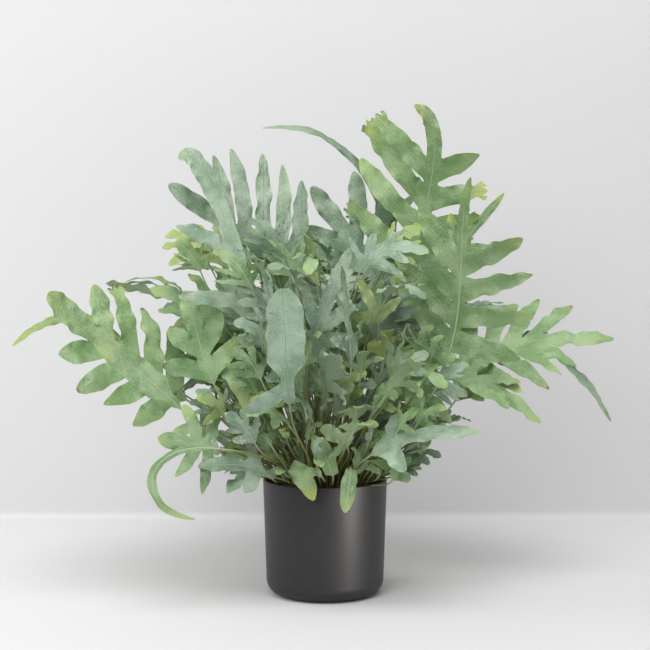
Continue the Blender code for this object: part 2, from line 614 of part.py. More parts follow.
def all_fronds():
    """Every frond of the plant with its sheet, those seen from the front first."""
    clump = Clump()
    points, faces = pot_shape()
    clump.add(np.array(points), np.array(faces))
    made = [settle([frond], clump, 12, 0.0) or settle([frond], clump, 30) for frond in SHOWN]
    for ring in RINGS:
        for index in range(ring[2]):
            for again in range(REDRAWS):
                found = settle(ring_group(ring, index, again), clump, ring[9])
                if found:
                    break
            made.append(found)
    return [found for found in made if found]


def ring_wall(profile, sides):
    """A closed solid turned from a profile of radius and height that starts and ends on the axis."""
    points, rows = [], []
    for radius, height in profile:
        if radius < 1e-9:
            rows.append([len(points)] * sides)
            points.append((0.0, 0.0, height))
            continue
        rows.append(list(range(len(points), len(points) + sides)))
        for k in range(sides):
            angle = 2 * math.pi * k / sides
            points.append((radius * math.cos(angle), radius * math.sin(angle), height))
    faces = []
    for low, high in zip(rows, rows[1:]):
        for k in range(sides):
            n = (k + 1) % sides
            corners = [low[k], low[n], high[n], high[k]]
            corners = list(dict.fromkeys(corners))
            faces.extend((corners[0], corners[j], corners[j + 1]) for j in range(1, len(corners) - 1))
    return points, faces


def wall_radius(height):
    """The pot's outer radius above its rounded corner."""
    return POT_RADIUS - POT_TAPER * (1 - height / POT_HEIGHT)


def pot_shape():
    """Flat underside, rounded corner, slightly tapered wall, thin rounded rim, and the hollow inside."""
    corner_out = wall_radius(POT_CORNER)
    reach = corner_out - POT_FOOT_RADIUS
    profile = [(0.0, 0.0)]
    for k in range(5):
        a = math.pi / 2 * k / 4
        profile.append((POT_FOOT_RADIUS + reach * math.sin(a), POT_CORNER * (1 - math.cos(a))))
    lip = POT_WALL / 2
    profile.append((wall_radius(POT_HEIGHT - lip), POT_HEIGHT - lip))
    profile.append((POT_RADIUS - lip, POT_HEIGHT))
    profile.append((POT_RADIUS - POT_WALL, POT_HEIGHT - lip))
    inner_reach = corner_out - POT_WALL - POT_FOOT_RADIUS
    for k in range(3):
        a = math.pi / 2 * (1 - k / 2)
        profile.append((POT_FOOT_RADIUS + inner_reach * math.sin(a),
                        POT_FLOOR + (POT_CORNER - POT_FLOOR) * (1 - math.cos(a))))
    profile.append((0.0, POT_FLOOR))
    return ring_wall(profile, POT_SIDES)


def soil_shape():
    """The plug of soil that fills the pot to a little under its rim."""
    corner_in = wall_radius(POT_CORNER) - POT_WALL - SOIL_GAP
    top_in = wall_radius(SOIL_TOP) - POT_WALL - SOIL_GAP
    inner_reach = corner_in - POT_FOOT_RADIUS + SOIL_GAP
    profile = [(0.0, POT_FLOOR + SOIL_GAP)]
    for k in range(3):
        a = math.pi / 2 * k / 2
        profile.append((POT_FOOT_RADIUS - SOIL_GAP + inner_reach * math.sin(a),
                        POT_FLOOR + SOIL_GAP + (POT_CORNER - POT_FLOOR) * (1 - math.cos(a))))
    profile.append((top_in, SOIL_TOP))
    profile.append((0.0, SOIL_TOP))
    return ring_wall(profile, POT_SIDES)


def hole_cutters(groups):
    """A square peg for each foot, a little wider than it, which cuts its hole."""
    points, faces = [], []
    for group in groups:
        _, mouth = foot_rows(group)
        side = unit(mouth[-1] - mouth[0])
        face = np.cross(side, UP)
        half = STALK / 2 + HOLE_GAP
        first = len(points)
        for height in (SOIL_TOP - HOLE_DEPTH - HOLE_GAP, SOIL_TOP + 0.004):
            for end, a, b in ((0, -1, 1), (-1, 1, 1), (-1, 1, -1), (0, -1, -1)):
                corner = mouth[end] + side * HOLE_GAP * a - face * half * b
                points.append((corner[0], corner[1], height))
        quads = [(3, 2, 1, 0), (4, 5, 6, 7)] + [(k, (k + 1) % 4, (k + 1) % 4 + 4, k + 4) for k in range(4)]
        faces.extend(tuple(first + k for k in q[::-1]) for q in quads)
    return points, faces


def material(name, colour, roughness):
    made = bpy.data.materials.new(name)
    made.use_nodes = True
    shader = made.node_tree.nodes["Principled BSDF"]
    shader.inputs["Base Color"].default_value = colour
    shader.inputs["Roughness"].default_value = roughness
    return made


def object_of(name, points, faces, finish=None):
    mesh = bpy.data.meshes.new(name)
    mesh.from_pydata([tuple(map(float, p)) for p in points], [], [tuple(map(int, f)) for f in faces])
    mesh.update()
    made = bpy.data.objects.new(name, mesh)
    bpy.context.scene.collection.objects.link(made)
    if finish:
        mesh.materials.append(finish)
    return made


def frond_object(name, sheet, finish):
    """The frond's sheet thickened to a solid, thick along the stalk and rib and thin in the lobes."""
    points, faces, stem = sheet
    made = object_of(name, points, faces, finish)
    group = made.vertex_groups.new(name="stalk")
    for index, weight in enumerate(stem):
        group.add([index], float(weight), "REPLACE")
    solid = made.modifiers.new("thickness", "SOLIDIFY")
    solid.thickness = STALK
    solid.offset = 0.0
    solid.vertex_group = "stalk"
    solid.thickness_vertex_group = BLADE / STALK
    return made


def build():
    for old in list(bpy.data.objects):
        bpy.data.objects.remove(old)
    pot = object_of("pot", *pot_shape(), material("pot", POT_COLOUR, 0.45))
    pot.data.shade_smooth()
    pot.data.set_sharp_from_angle(angle=math.radians(35))
    fronds = all_fronds()
    leaf = {tint: material(f"frond_{tint}", *values) for tint, values in TINTS.items()}
    for group, sheet in fronds:
        frond_object(group[0].name, sheet, leaf[group[0].tint])
    soil = object_of("soil", *soil_shape(), material("soil", SOIL_COLOUR, 0.95))
    pegs = object_of("stalk_holes", *hole_cutters([group for group, _ in fronds]))
    pegs.hide_render = True
    pegs.display_type = "WIRE"
    cut = soil.modifiers.new("stalk_holes", "BOOLEAN")
    cut.operation = "DIFFERENCE"
    cut.solver = "EXACT"
    cut.object = pegs


build()
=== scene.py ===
# %% [markdown]
# # A potted blue star fern
# The real plant is a houseplant fern. Over sixty fronds rise on thin stalks from a plain dark pot, and each
# blade is cut almost to its rib into wavy, strap-shaped lobes with a waxy, blue-grey bloom. The packed model
# already holds the true places and sizes as plain solids. This script keeps them, and gives each frond a
# fine, ruffled surface with veins, a rim and colour.

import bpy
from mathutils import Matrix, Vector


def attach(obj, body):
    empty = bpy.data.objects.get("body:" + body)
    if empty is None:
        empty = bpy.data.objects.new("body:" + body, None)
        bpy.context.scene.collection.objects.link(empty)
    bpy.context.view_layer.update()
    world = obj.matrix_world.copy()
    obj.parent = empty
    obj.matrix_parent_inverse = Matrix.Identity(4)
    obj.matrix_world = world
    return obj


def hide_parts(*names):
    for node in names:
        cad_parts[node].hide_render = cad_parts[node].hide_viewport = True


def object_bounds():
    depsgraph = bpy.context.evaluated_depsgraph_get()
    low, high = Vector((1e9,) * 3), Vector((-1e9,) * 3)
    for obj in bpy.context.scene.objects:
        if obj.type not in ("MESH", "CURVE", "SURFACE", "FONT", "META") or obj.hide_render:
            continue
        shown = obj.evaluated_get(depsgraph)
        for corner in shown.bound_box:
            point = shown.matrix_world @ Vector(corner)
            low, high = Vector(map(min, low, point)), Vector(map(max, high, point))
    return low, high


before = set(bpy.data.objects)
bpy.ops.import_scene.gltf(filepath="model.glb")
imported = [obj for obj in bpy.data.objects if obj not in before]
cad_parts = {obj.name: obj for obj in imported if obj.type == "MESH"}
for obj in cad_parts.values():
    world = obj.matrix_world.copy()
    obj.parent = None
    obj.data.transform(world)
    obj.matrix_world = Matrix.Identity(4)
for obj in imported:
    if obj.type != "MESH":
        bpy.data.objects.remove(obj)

import copy
import math
import random
from itertools import combinations

import bpy
import numpy as np
from mathutils import Vector
from mathutils.bvhtree import BVHTree

cad_low, cad_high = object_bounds()
print("nodes:", len(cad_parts), "size in mm:", [round(1000 * x) for x in cad_high - cad_low])

# %% [markdown]
# ## The camera
# The photograph looks at the plant only a little from above, so the pot's rim is a narrow ellipse and the
# floor ends low in the picture. It doesn't tell how far away the camera stood. About two metres is taken, with
# the longish lens that then fits.

# %% The camera
CAMERA_PLACE = (0.0, -2.0, 0.464)
CAMERA_DIP = 3.95
CAMERA_LENS = 92.2

camera_data = bpy.data.cameras.new("camera")
camera_data.lens = CAMERA_LENS
camera = bpy.data.objects.new("camera", camera_data)
camera.location = CAMERA_PLACE
camera.rotation_euler = (math.radians(90 - CAMERA_DIP), 0, 0)
bpy.context.scene.collection.objects.link(camera)
bpy.context.scene.camera = camera
print("camera", CAMERA_PLACE, "lens", CAMERA_LENS)

# %% [markdown]
# ## Sums of sockets
# A material is a small network of nodes. Written out node by node it is hard to read, so a socket is wrapped
# in a class whose operators add Math nodes: `1 - mask * 0.5` then reads as the sum that it is.

# %% A socket that can be reckoned with


class Wire:
    """An output socket in a network of nodes. Each operator adds the Math node that works it out."""

    def __init__(self, network, socket):
        self.network, self.socket = network, socket

    def maths(self, operation, *terms):
        return self.network.add("ShaderNodeMath", {"operation": operation}, dict(enumerate(terms)))

    def __add__(self, other):
        return self.maths("ADD", self, other)

    def __sub__(self, other):
        return self.maths("SUBTRACT", self, other)

    def __rsub__(self, other):
        return self.maths("SUBTRACT", other, self)

    def __mul__(self, other):
        return self.maths("MULTIPLY", self, other)

    def __truediv__(self, other):
        return self.maths("DIVIDE", self, other)

    __radd__ = __add__
    __rmul__ = __mul__


print("operators:", [name for name in vars(Wire) if name.startswith("__r")])

# %% A network of nodes


class Network:
    """The nodes of a material or of the world."""

    def __init__(self, tree):
        self.tree = tree

    def add(self, kind, settings=None, inputs=None, output=0):
        """Adds any node: its settings first, then the values or wires of its sockets."""
        node = self.tree.nodes.new(kind)
        for key, value in (settings or {}).items():
            setattr(node, key, value)
        for key, value in (inputs or {}).items():
            self.feed(node.inputs[key], value)
        return Wire(self, node.outputs[output])

    def feed(self, socket, value):
        """Gives a socket a wire, or a value of its own."""
        if isinstance(value, Wire):
            self.tree.links.new(value.socket, socket)
        else:
            socket.default_value = value


# %% A finish


class Finish(Network):
    """A material in the making. Values that hold all over go straight to its shader's own sockets."""

    def __init__(self, name, **own):
        self.material = bpy.data.materials.new(name)
        self.material.use_nodes = True
        super().__init__(self.material.node_tree)
        self.shader = self.tree.nodes["Principled BSDF"]
        for socket, value in own.items():
            self.drive(socket.replace("_", " "), value)

    def drive(self, name, value):
        """Feeds one of the shader's own sockets."""
        self.feed(self.shader.inputs[name], value)

    def veil(self, factor, other):
        """Sends the surface a mix of its own shader and another one."""
        inputs = {0: factor, 1: Wire(self, self.shader.outputs[0]), 2: other}
        mixed = self.add("ShaderNodeMixShader", inputs=inputs)
        self.feed(self.tree.nodes["Material Output"].inputs["Surface"], mixed)

    def mix(self, factor, one, other, how="MIX"):
        settings = {"data_type": "RGBA", "blend_type": how}
        return self.add("ShaderNodeMix", settings, {0: factor, 6: one, 7: other}, 2)

    def between(self, value, low, high):
        """0 below low, 1 above high, and a smooth step between them."""
        inputs = {"Value": value, "From Min": low, "From Max": high}
        return self.add("ShaderNodeMapRange", {"interpolation_type": "SMOOTHSTEP"}, inputs)

    def place(self):
        return self.add("ShaderNodeTexCoord", output="Object")

    def noise(self, scale, detail=2.0, roughness=0.5):
        """Noise in space, with scale in spots to the metre."""
        inputs = {"Vector": self.place(), "Scale": scale, "Detail": detail, "Roughness": roughness}
        return self.add("ShaderNodeTexNoise", inputs=inputs)

    def note(self, name):
        """A number kept at each point of the mesh."""
        return self.add("ShaderNodeAttribute", {"attribute_name": name}, output="Fac")

    def bump(self, height, distance, strength=1.0):
        inputs = {"Height": height, "Distance": distance, "Strength": strength}
        self.drive("Normal", self.add("ShaderNodeBump", inputs=inputs))


def rgb(red, green, blue):
    return (red, green, blue, 1.0)


# %% [markdown]
# ## The room
# The plant stands on a pale floor close to a pale wall, and the line where they meet crosses the picture low
# down. One sheet that runs along the floor and turns up the wall gives that line, softened by a small cove.
# The wall shows only from its front, so that other views can look through it from behind, and it throws no
# shadow. The floor behind it still comes out a little greyer than the floor in front.

# %% The floor and the wall
WALL_PLACE = 0.487
COVE = 0.012
COVE_STEPS = 6
ROOM_HALF = 3.0
ROOM_HIGH = 3.0
FLOOR_DROP = 0.001


def mesh_piece(name, points, faces):
    mesh = bpy.data.meshes.new(name)
    mesh.from_pydata([tuple(map(float, p)) for p in points], [], [tuple(map(int, f)) for f in faces])
    mesh.update()
    piece = bpy.data.objects.new(name, mesh)
    bpy.context.scene.collection.objects.link(piece)
    return piece


def sweep(name, line, half):
    """A sheet from a line of places (y, z), as wide as twice half."""
    points = [(x, y, z) for y, z in line for x in (-half, half)]
    return mesh_piece(name, points, [(2 * k, 2 * k + 1, 2 * k + 3, 2 * k + 2) for k in range(len(line) - 1)])


turn = [math.radians(90 * k / COVE_STEPS) for k in range(COVE_STEPS + 1)]
cove = [(WALL_PLACE - COVE + COVE * math.sin(a), COVE - COVE * math.cos(a)) for a in turn]
room = sweep("room", [(-ROOM_HALF, 0.0)] + cove + [(WALL_PLACE, ROOM_HIGH)], ROOM_HALF)
room.data.shade_smooth()
floor_behind = sweep("floor_behind", [(WALL_PLACE - COVE, -FLOOR_DROP), (ROOM_HALF, -FLOOR_DROP)], ROOM_HALF)

# %% The room's paint
WALL_COLOUR = rgb(0.67, 0.67, 0.675)
FLOOR_COLOUR = rgb(0.71, 0.71, 0.71)

paint = Finish("room_paint", Roughness=0.9, Specular_IOR_Level=0.1)
height = paint.add("ShaderNodeSeparateXYZ", inputs={0: paint.place()}, output=2)
paint.drive("Base Color", paint.mix(paint.between(height, 0.0, COVE), FLOOR_COLOUR, WALL_COLOUR))
clear = paint.add("ShaderNodeBsdfTransparent")
behind = paint.add("ShaderNodeNewGeometry", output="Backfacing")
paint.veil(behind, clear)
room.data.materials.append(paint.material)

plain_paint = Finish("floor_paint", Base_Color=FLOOR_COLOUR, Roughness=0.9, Specular_IOR_Level=0.1)
floor_behind.data.materials.append(plain_paint.material)
room.visible_shadow = False
print("the wall stands", WALL_PLACE, "m behind the pot's middle")

# %% [markdown]
# ## The light
# A bright, narrow band runs down the right of the pot, the shadow on the floor lies to its left, and the
# leaves are lit softly from above. A strip lamp at the front right gives the band, and is kept to reflections
# so that it throws no shadows on the wall. A wide lamp overhead and one at the front left light the leaves,
# and a lamp on the left brightens the wall there. A white sky fills the rest. It lights the plant only
# weakly, but wherever the camera looks past the room it sees a pale backdrop.

# %% The light
SKY = 0.21
BACKDROP = 0.72


def lamp(name, place, towards, wide, high, power, tint=(1.0, 1.0, 1.0)):
    """A soft lamp with a rectangular face, at a place and facing another."""
    data = bpy.data.lights.new(name, "AREA")
    data.shape = "RECTANGLE"
    data.size, data.size_y = wide, high
    data.energy = power
    data.color = tint
    made = bpy.data.objects.new(name, data)
    made.location = place
    made.rotation_euler = (Vector(towards) - Vector(place)).to_track_quat("-Z", "Y").to_euler()
    bpy.context.scene.collection.objects.link(made)
    return made


world = bpy.data.worlds.new("white_room")
world.use_nodes = True
air = Network(world.node_tree)
sky = air.tree.nodes["Background"]
air.feed(sky.inputs["Strength"], SKY)
air.feed(sky.inputs["Color"], rgb(1.0, 1.0, 1.0))
backdrop = air.add("ShaderNodeBackground", inputs={"Color": rgb(BACKDROP, BACKDROP, BACKDROP)})
looked_at = air.add("ShaderNodeLightPath", output="Is Camera Ray")
either = air.add("ShaderNodeMixShader", inputs={0: looked_at, 1: Wire(air, sky.outputs[0]), 2: backdrop})
air.feed(air.tree.nodes["World Output"].inputs["Surface"], either)
bpy.context.scene.world = world
bpy.context.scene.view_settings.view_transform = "Standard"
strip_lamp = lamp("strip", (1.34, -1.20, 0.30), (0, 0, 0.10), wide=0.26, high=0.60, power=44,
                  tint=(1.0, 0.95, 0.90))
strip_lamp.visible_diffuse = False
strip_lamp.visible_transmission = False
lamp("overhead", (0.10, -1.15, 2.3), (0, 0, 0.3), wide=1.6, high=1.4, power=47)
lamp("front", (-0.9, -2.3, 1.4), (-0.1, 0.3, 0.4), wide=1.3, high=1.2, power=20)
lamp("wall_wash", (-1.8, -0.1, 0.9), (-0.75, WALL_PLACE, 0.50), wide=0.8, high=0.8, power=10)

# %% [markdown]
# ## The pot
# The pot is a turned shape: a flat underside, a round corner, a wall that widens slightly and a thin rounded
# rim. A profile of radius and height spun about the axis gives all of it, with many sides so that its edge is
# smooth.

# %% The pot's shape
POT_RADIUS = 0.075
POT_HEIGHT = 0.140
POT_FOOT_RADIUS = 0.0525
POT_CORNER = 0.018
POT_TAPER = 0.0045
POT_WALL = 0.0030
POT_FLOOR = 0.0040
POT_SIDES = 32
FINE_SIDES = 128
FINE_ARC = 12
POT_CREASE = 40
ON_AXIS = 1e-9


def ring_wall(profile, sides):
    """A closed solid turned from a profile of radius and height that starts and ends on the axis."""
    points, rows = [], []
    for radius, height in profile:
        if radius < ON_AXIS:
            rows.append([len(points)] * sides)
            points.append((0.0, 0.0, height))
            continue
        rows.append(list(range(len(points), len(points) + sides)))
        for k in range(sides):
            angle = 2 * math.pi * k / sides
            points.append((radius * math.cos(angle), radius * math.sin(angle), height))
    faces = []
    for low, high in zip(rows, rows[1:]):
        for k in range(sides):
            n = (k + 1) % sides
            corners = [low[k], low[n], high[n], high[k]]
            corners = list(dict.fromkeys(corners))
            faces.extend((corners[0], corners[j], corners[j + 1]) for j in range(1, len(corners) - 1))
    return points, faces


def wall_radius(height):
    """The pot's outer radius above its rounded corner."""
    return POT_RADIUS - POT_TAPER * (1 - height / POT_HEIGHT)


def arc_line(middle, radius, start, stop, steps):
    """Places (radius, height) along an arc, from one angle to another in degrees."""
    angles = np.radians(np.linspace(start, stop, steps + 1))
    return [(middle[0] + radius[0] * math.cos(a), middle[1] + radius[1] * math.sin(a)) for a in angles]


def fine_pot():
    """The pot's profile with round arcs, in the places of the plain solid."""
    corner = wall_radius(POT_CORNER) - POT_FOOT_RADIUS
    lip = POT_WALL / 2
    inner = corner - POT_WALL
    profile = [(0.0, 0.0)]
    profile += arc_line((POT_FOOT_RADIUS, POT_CORNER), (corner, POT_CORNER), -90, 0, FINE_ARC)
    profile += arc_line((POT_RADIUS - lip, POT_HEIGHT - lip), (lip, lip), 0, 180, FINE_ARC)
    profile += arc_line((POT_FOOT_RADIUS, POT_CORNER), (inner, POT_CORNER - POT_FLOOR), 0, -90, FINE_ARC)
    profile += [(0.0, POT_FLOOR)]
    return ring_wall(profile, FINE_SIDES)


pot = mesh_piece("pot_turned", *fine_pot())
pot.data.shade_smooth()
pot.data.set_sharp_from_angle(angle=math.radians(POT_CREASE))
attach(pot, "root")
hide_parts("pot")
print("pot faces:", len(pot.data.polygons))

# %% [markdown]
# ## The pot's finish
# The pot is graphite grey with a satin skin. Close up the skin is finely grained, with paler specks that
# catch the light. Noise at the size of sand grains drives the colour, the gloss and a slight bump.

# %% The pot's finish
POT_GRAIN = 1500
POT_CLOUD = 22
POT_DARK = rgb(0.015, 0.0145, 0.0165)
POT_LESS_DARK = rgb(0.023, 0.0215, 0.0225)
POT_SPECK = rgb(0.10, 0.09, 0.08)
POT_BUMP = 0.0002

pot_finish = Finish("pot_graphite", Specular_IOR_Level=0.42)
grain = pot_finish.noise(POT_GRAIN, detail=3)
cloud = pot_finish.noise(POT_CLOUD, detail=3)
speck = pot_finish.between(grain, 0.60, 0.70)
dark = pot_finish.mix(cloud, POT_DARK, POT_LESS_DARK)
pot_finish.drive("Base Color", pot_finish.mix(speck * 0.6, dark, POT_SPECK))
pot_finish.drive("Roughness", 0.40 + cloud * 0.04 + grain * 0.10)
pot_finish.bump(grain, POT_BUMP, 0.30)
pot.data.materials.append(pot_finish.material)
print("the pot's nodes:", len(pot_finish.tree.nodes))

# %% [markdown]
# ## The fronds' places
# Nobody places sixty fronds by hand. The large ones that the picture shows each have a line in a table, and
# rings of smaller ones fill the clump. A coarse sheet stands for each frond, and a frond is swung about its
# own foot until its sheet is clear of those already standing. The packed model was made by the same search,
# so this one finds the same places, and the fine blades grow from them.

# %% Sizes of a frond
SOIL_TOP = 0.127
HOLE_DEPTH = 0.014
HOLE_SPACING = 0.0062
STALK = 0.0022
BLADE = 0.0007
CUP = 0.16
STALK_STEPS = 4
FOOT_RISE = 0.0015
FOOT_NEAR = 0.008
FOOT_FAR = 0.050
FOOT_REACH = 0.22
FOOT_LEAN = 1.1
LOBE_STATIONS = (0.28, 0.62, 0.90)
SHORT_LOBE_STATIONS = (0.38, 0.84)
SHORT_LOBE = 0.092
TAIL_STATIONS = (0.28, 0.62, 0.90)
STRAP_STATIONS = (0.11, 0.27, 0.43, 0.59, 0.75, 0.90)
LONG_TAIL = 0.078
TAIL_SPREAD = 0.024
LOBE_STEPS = 16
CLEARANCE = 0.0010
TRIES = 24
REDRAWS = 14
SLIDE = 0.016
LOST_LOBES = 0.40
LOBE_BENDS = (
    (0.0, 1.0, 0.0),
    (0.4, 1.0, 0.0),
    (-0.4, 1.0, 0.0),
    (0.9, 0.95, 0.1),
    (-0.8, 0.95, -0.1),
    (0.3, 0.78, 0.1),
    (-0.3, 0.78, -0.1),
    (0.0, 0.6, 0.0),
)
UP = np.array((0.0, 0.0, 1.0))

# %% Turning, smoothing and curves


def unit(v):
    return v / np.linalg.norm(v, axis=-1, keepdims=True)


def smooth(x):
    x = np.clip(x, 0.0, 1.0)
    return x * x * (3 - 2 * x)


def bezier(corners, t):
    """Places and unit tangents at t along a cubic curve."""
    a, b, c, d = (np.asarray(p, float) for p in corners)
    t = np.atleast_1d(np.asarray(t, float))[:, None]
    s = 1 - t
    place = a * s**3 + b * 3 * s * s * t + c * 3 * s * t * t + d * t**3
    slope = (b - a) * s * s + (c - b) * 2 * s * t + (d - c) * t * t
    return place, unit(slope)


def turned_about(angle, axis):
    """The matrix of a turn about an axis."""
    x, y, z = unit(np.asarray(axis, float))
    c, s = math.cos(angle), math.sin(angle)
    return np.array(
        (
            (c + x * x * (1 - c), x * y * (1 - c) - z * s, x * z * (1 - c) + y * s),
            (y * x * (1 - c) + z * s, c + y * y * (1 - c), y * z * (1 - c) - x * s),
            (z * x * (1 - c) - y * s, z * y * (1 - c) + x * s, c + z * z * (1 - c)),
        )
    )


# %% [markdown]
# A blade follows a curve from its base to its tip. Each lobe roots on a stretch of that curve and has habits
# of its own: how long it is, the angle at which it leaves, and how much it sweeps, droops and twists.

# %% A frond and its habits


class Frond:
    """One frond: base and tip of its blade, the way it faces, and the size and number of its lobes."""

    def __init__(self, name, tint, base, tip, face, pairs, long, wide, angle=57, rise=0.02, sag=0.2,
                 bends=None, wing=None, tail=None, tail_wide=None, wave=0.0022, lop=0.0, skew=0, share=0.90,
                 sides=(1, -1), lively=0.55, arch=0.30, blunt=5, seed=1):
        self.name, self.tint, self.pairs = name, tint, pairs
        self.base, self.tip, self.face = (np.array(p, float) for p in (base, tip, face))
        self.long, self.wide, self.angle = long, wide, math.radians(angle)
        self.sag, self.wave, self.lop, self.seed = sag, wave, lop, seed
        self.skew, self.share, self.sides, self.lively = math.radians(skew), share, sides, lively
        self.arch, self.blunt = arch, blunt
        self.wing = wing if wing else 0.34 * wide
        self.tail_wide = tail_wide if tail_wide else wide
        self.chord = float(np.linalg.norm(self.tip - self.base))
        self.tail = tail if tail else min(0.75, 0.95 * long / self.chord)
        out = math.hypot(*self.base[:2])
        reach = FOOT_NEAR + (FOOT_FAR - FOOT_NEAR) * min(1.0, out / FOOT_REACH)
        reach = max(reach, min(FOOT_FAR, out - FOOT_LEAN * (self.base[2] - SOIL_TOP)))
        self.foot = np.array((*(self.base[:2] / max(out, 1e-6) * reach), SOIL_TOP + FOOT_RISE))
        self.bends = [np.array(p, float) for p in bends] if bends else easy_bends(self, rise)
        plan(self)


def easy_bends(frond, rise):
    """The two middle corners of the blade's curve: it leaves along the stalk and comes over at the tip."""
    along = unit(frond.tip - frond.base)
    first = unit(0.45 * unit(frond.base - frond.foot) + 0.75 * along)
    lift = UP * rise
    return [frond.base + first * frond.chord * 0.34 + lift, frond.tip - along * frond.chord * 0.33 + lift]


# %% Where the lobes root


def plan(frond):
    """Where each pair of lobes roots, as shares of the blade's length, and each lobe's own habit."""
    start = 0.06
    end = 1 - frond.tail
    step = (end - start) / max(frond.pairs, 1)
    gap = 0.5 * (1 - frond.share) * step
    frond.end = end if frond.pairs else 0.12
    frond.roots = [(start + i * step + gap, start + (i + 1) * step - gap) for i in range(frond.pairs)]
    if gap == 0:
        marks = [start + i * step for i in range(frond.pairs)] + [frond.end]
        frond.roots = list(zip(marks, marks[1:]))
    frond.start = frond.roots[0][0] if frond.pairs else 0.08
    room = frond.chord * step * math.sin(frond.angle) * 0.97
    frond.lobe_wide = min(frond.wide, room) if frond.pairs else frond.wide
    draw = random.Random(frond.seed)
    tips = random.Random(frond.seed + 1)
    frond.habits = {}
    for i in range(frond.pairs):
        share = i / max(frond.pairs - 1, 1)
        for side in frond.sides:
            size = (0.86 + 0.5 * share - 0.62 * share * share) * (1 + side * frond.lop)
            frond.habits[i, side] = {
                "long": frond.long * size * draw.uniform(0.90, 1.08),
                "angle": root_angle(frond, side, share) + draw.uniform(-0.06, 0.06),
                "sweep": draw.uniform(0.05, 0.75) * frond.lively,
                "droop": draw.uniform(-0.35, 0.65) * frond.lively,
                "twist": draw.uniform(-0.90, 0.90) * frond.lively,
                "phase": draw.uniform(0, 2 * math.pi),
                "arch": tips.uniform(0.3, 1.0) * frond.arch,
                "blunt": tips.choice((2.6, 3.4, 5.0, 6.0)),
            }
    frond.tail_phase = draw.uniform(0, 2 * math.pi)
    frond.spread = min(0.42, TAIL_SPREAD / (frond.chord * (1 - frond.end)))


def root_angle(frond, side, share):
    """The angle between a lobe and the rib: open at the foot of the blade, closing towards its tip."""
    return frond.angle - side * frond.skew + math.radians(14 - 24 * share)


# %% The same frond, changed a little


def with_habits(frond, habits):
    """The same frond with other habits of its lobes."""
    other = copy.copy(frond)
    other.habits = habits
    return other


def calmed(frond):
    """The same frond with its lobes lying flatter and straighter."""
    calmer = {"droop": 0.6, "twist": 0.6, "sweep": 0.8, "arch": 0.7}
    return with_habits(frond, {
        key: {name: value * calmer.get(name, 1.0) for name, value in habit.items()}
        for key, habit in frond.habits.items()
    })


def swung(frond, turn, tilt, slide):
    """The same frond swung about its foot, with the foot slid by a little."""
    other = with_habits(frond, frond.habits)
    away = unit(np.append(frond.base[:2] - frond.foot[:2], 0.0) + 1e-9)
    matrix = turned_about(turn, UP) @ turned_about(tilt, np.cross(UP, away))
    shift = np.append(slide, 0.0)
    for key in ("base", "tip"):
        setattr(other, key, matrix @ (getattr(frond, key) - frond.foot) + frond.foot + shift)
    other.bends = [matrix @ (p - frond.foot) + frond.foot + shift for p in frond.bends]
    other.face = matrix @ frond.face
    other.foot = frond.foot + shift
    return other


# %% [markdown]
# The rib carries a narrow strip of blade, which widens into the end lobe. A lobe starts on the strip's edge
# and turns outward. Both are worked out for any place along and across, so the same lines give a coarse or a
# fine mesh.

# %% The rib and its strip
TAIL_RIPPLES = 2.2


def rib(frond, u):
    """Place, tangent, side and normal at u along the blade's rib."""
    place, tangent = bezier((frond.base, *frond.bends, frond.tip), u)
    normal = unit(frond.face - (tangent @ frond.face)[:, None] * tangent)
    return place, tangent, np.cross(normal, tangent), normal


def half_width(frond, u):
    """Half the width of the strip along the rib: stalk, then wing, then the end lobe."""
    u = np.asarray(u, float)
    x = np.clip((u - frond.end) / (1 - frond.end), 0, 1)
    wing = STALK / 2 + (frond.wing - STALK / 2) * smooth(u / frond.start)
    full = wing + (frond.tail_wide / 2 - wing) * smooth(x / frond.spread)
    return full * np.maximum(1 - x**frond.blunt, 0) ** 0.75


def strip(frond, u, across):
    """Places on the strip along the rib, at u along it and across from its right (-1) to its left (1)."""
    place, _, side, normal = rib(frond, u)
    half = half_width(frond, u)
    x = np.clip((np.asarray(u) - frond.end) / (1 - frond.end), 0, 1)
    c = np.asarray(across, float)[None, :]
    ripple = np.sin(2 * math.pi * TAIL_RIPPLES * x[:, None] + frond.tail_phase + 1.3 * (c > 0))
    wave = frond.wave * ripple * smooth(x / 0.3)[:, None] * (1 - x[:, None] ** 4)
    lift = CUP * half[:, None] * np.abs(c) + wave * c * c
    flat = place[:, None] + side[:, None] * (half[:, None] * c)[..., None]
    return flat + normal[:, None] * lift[..., None]


# %% One lobe
LOBE_RIPPLES = 2.6
ROOT_BLEND = 0.22


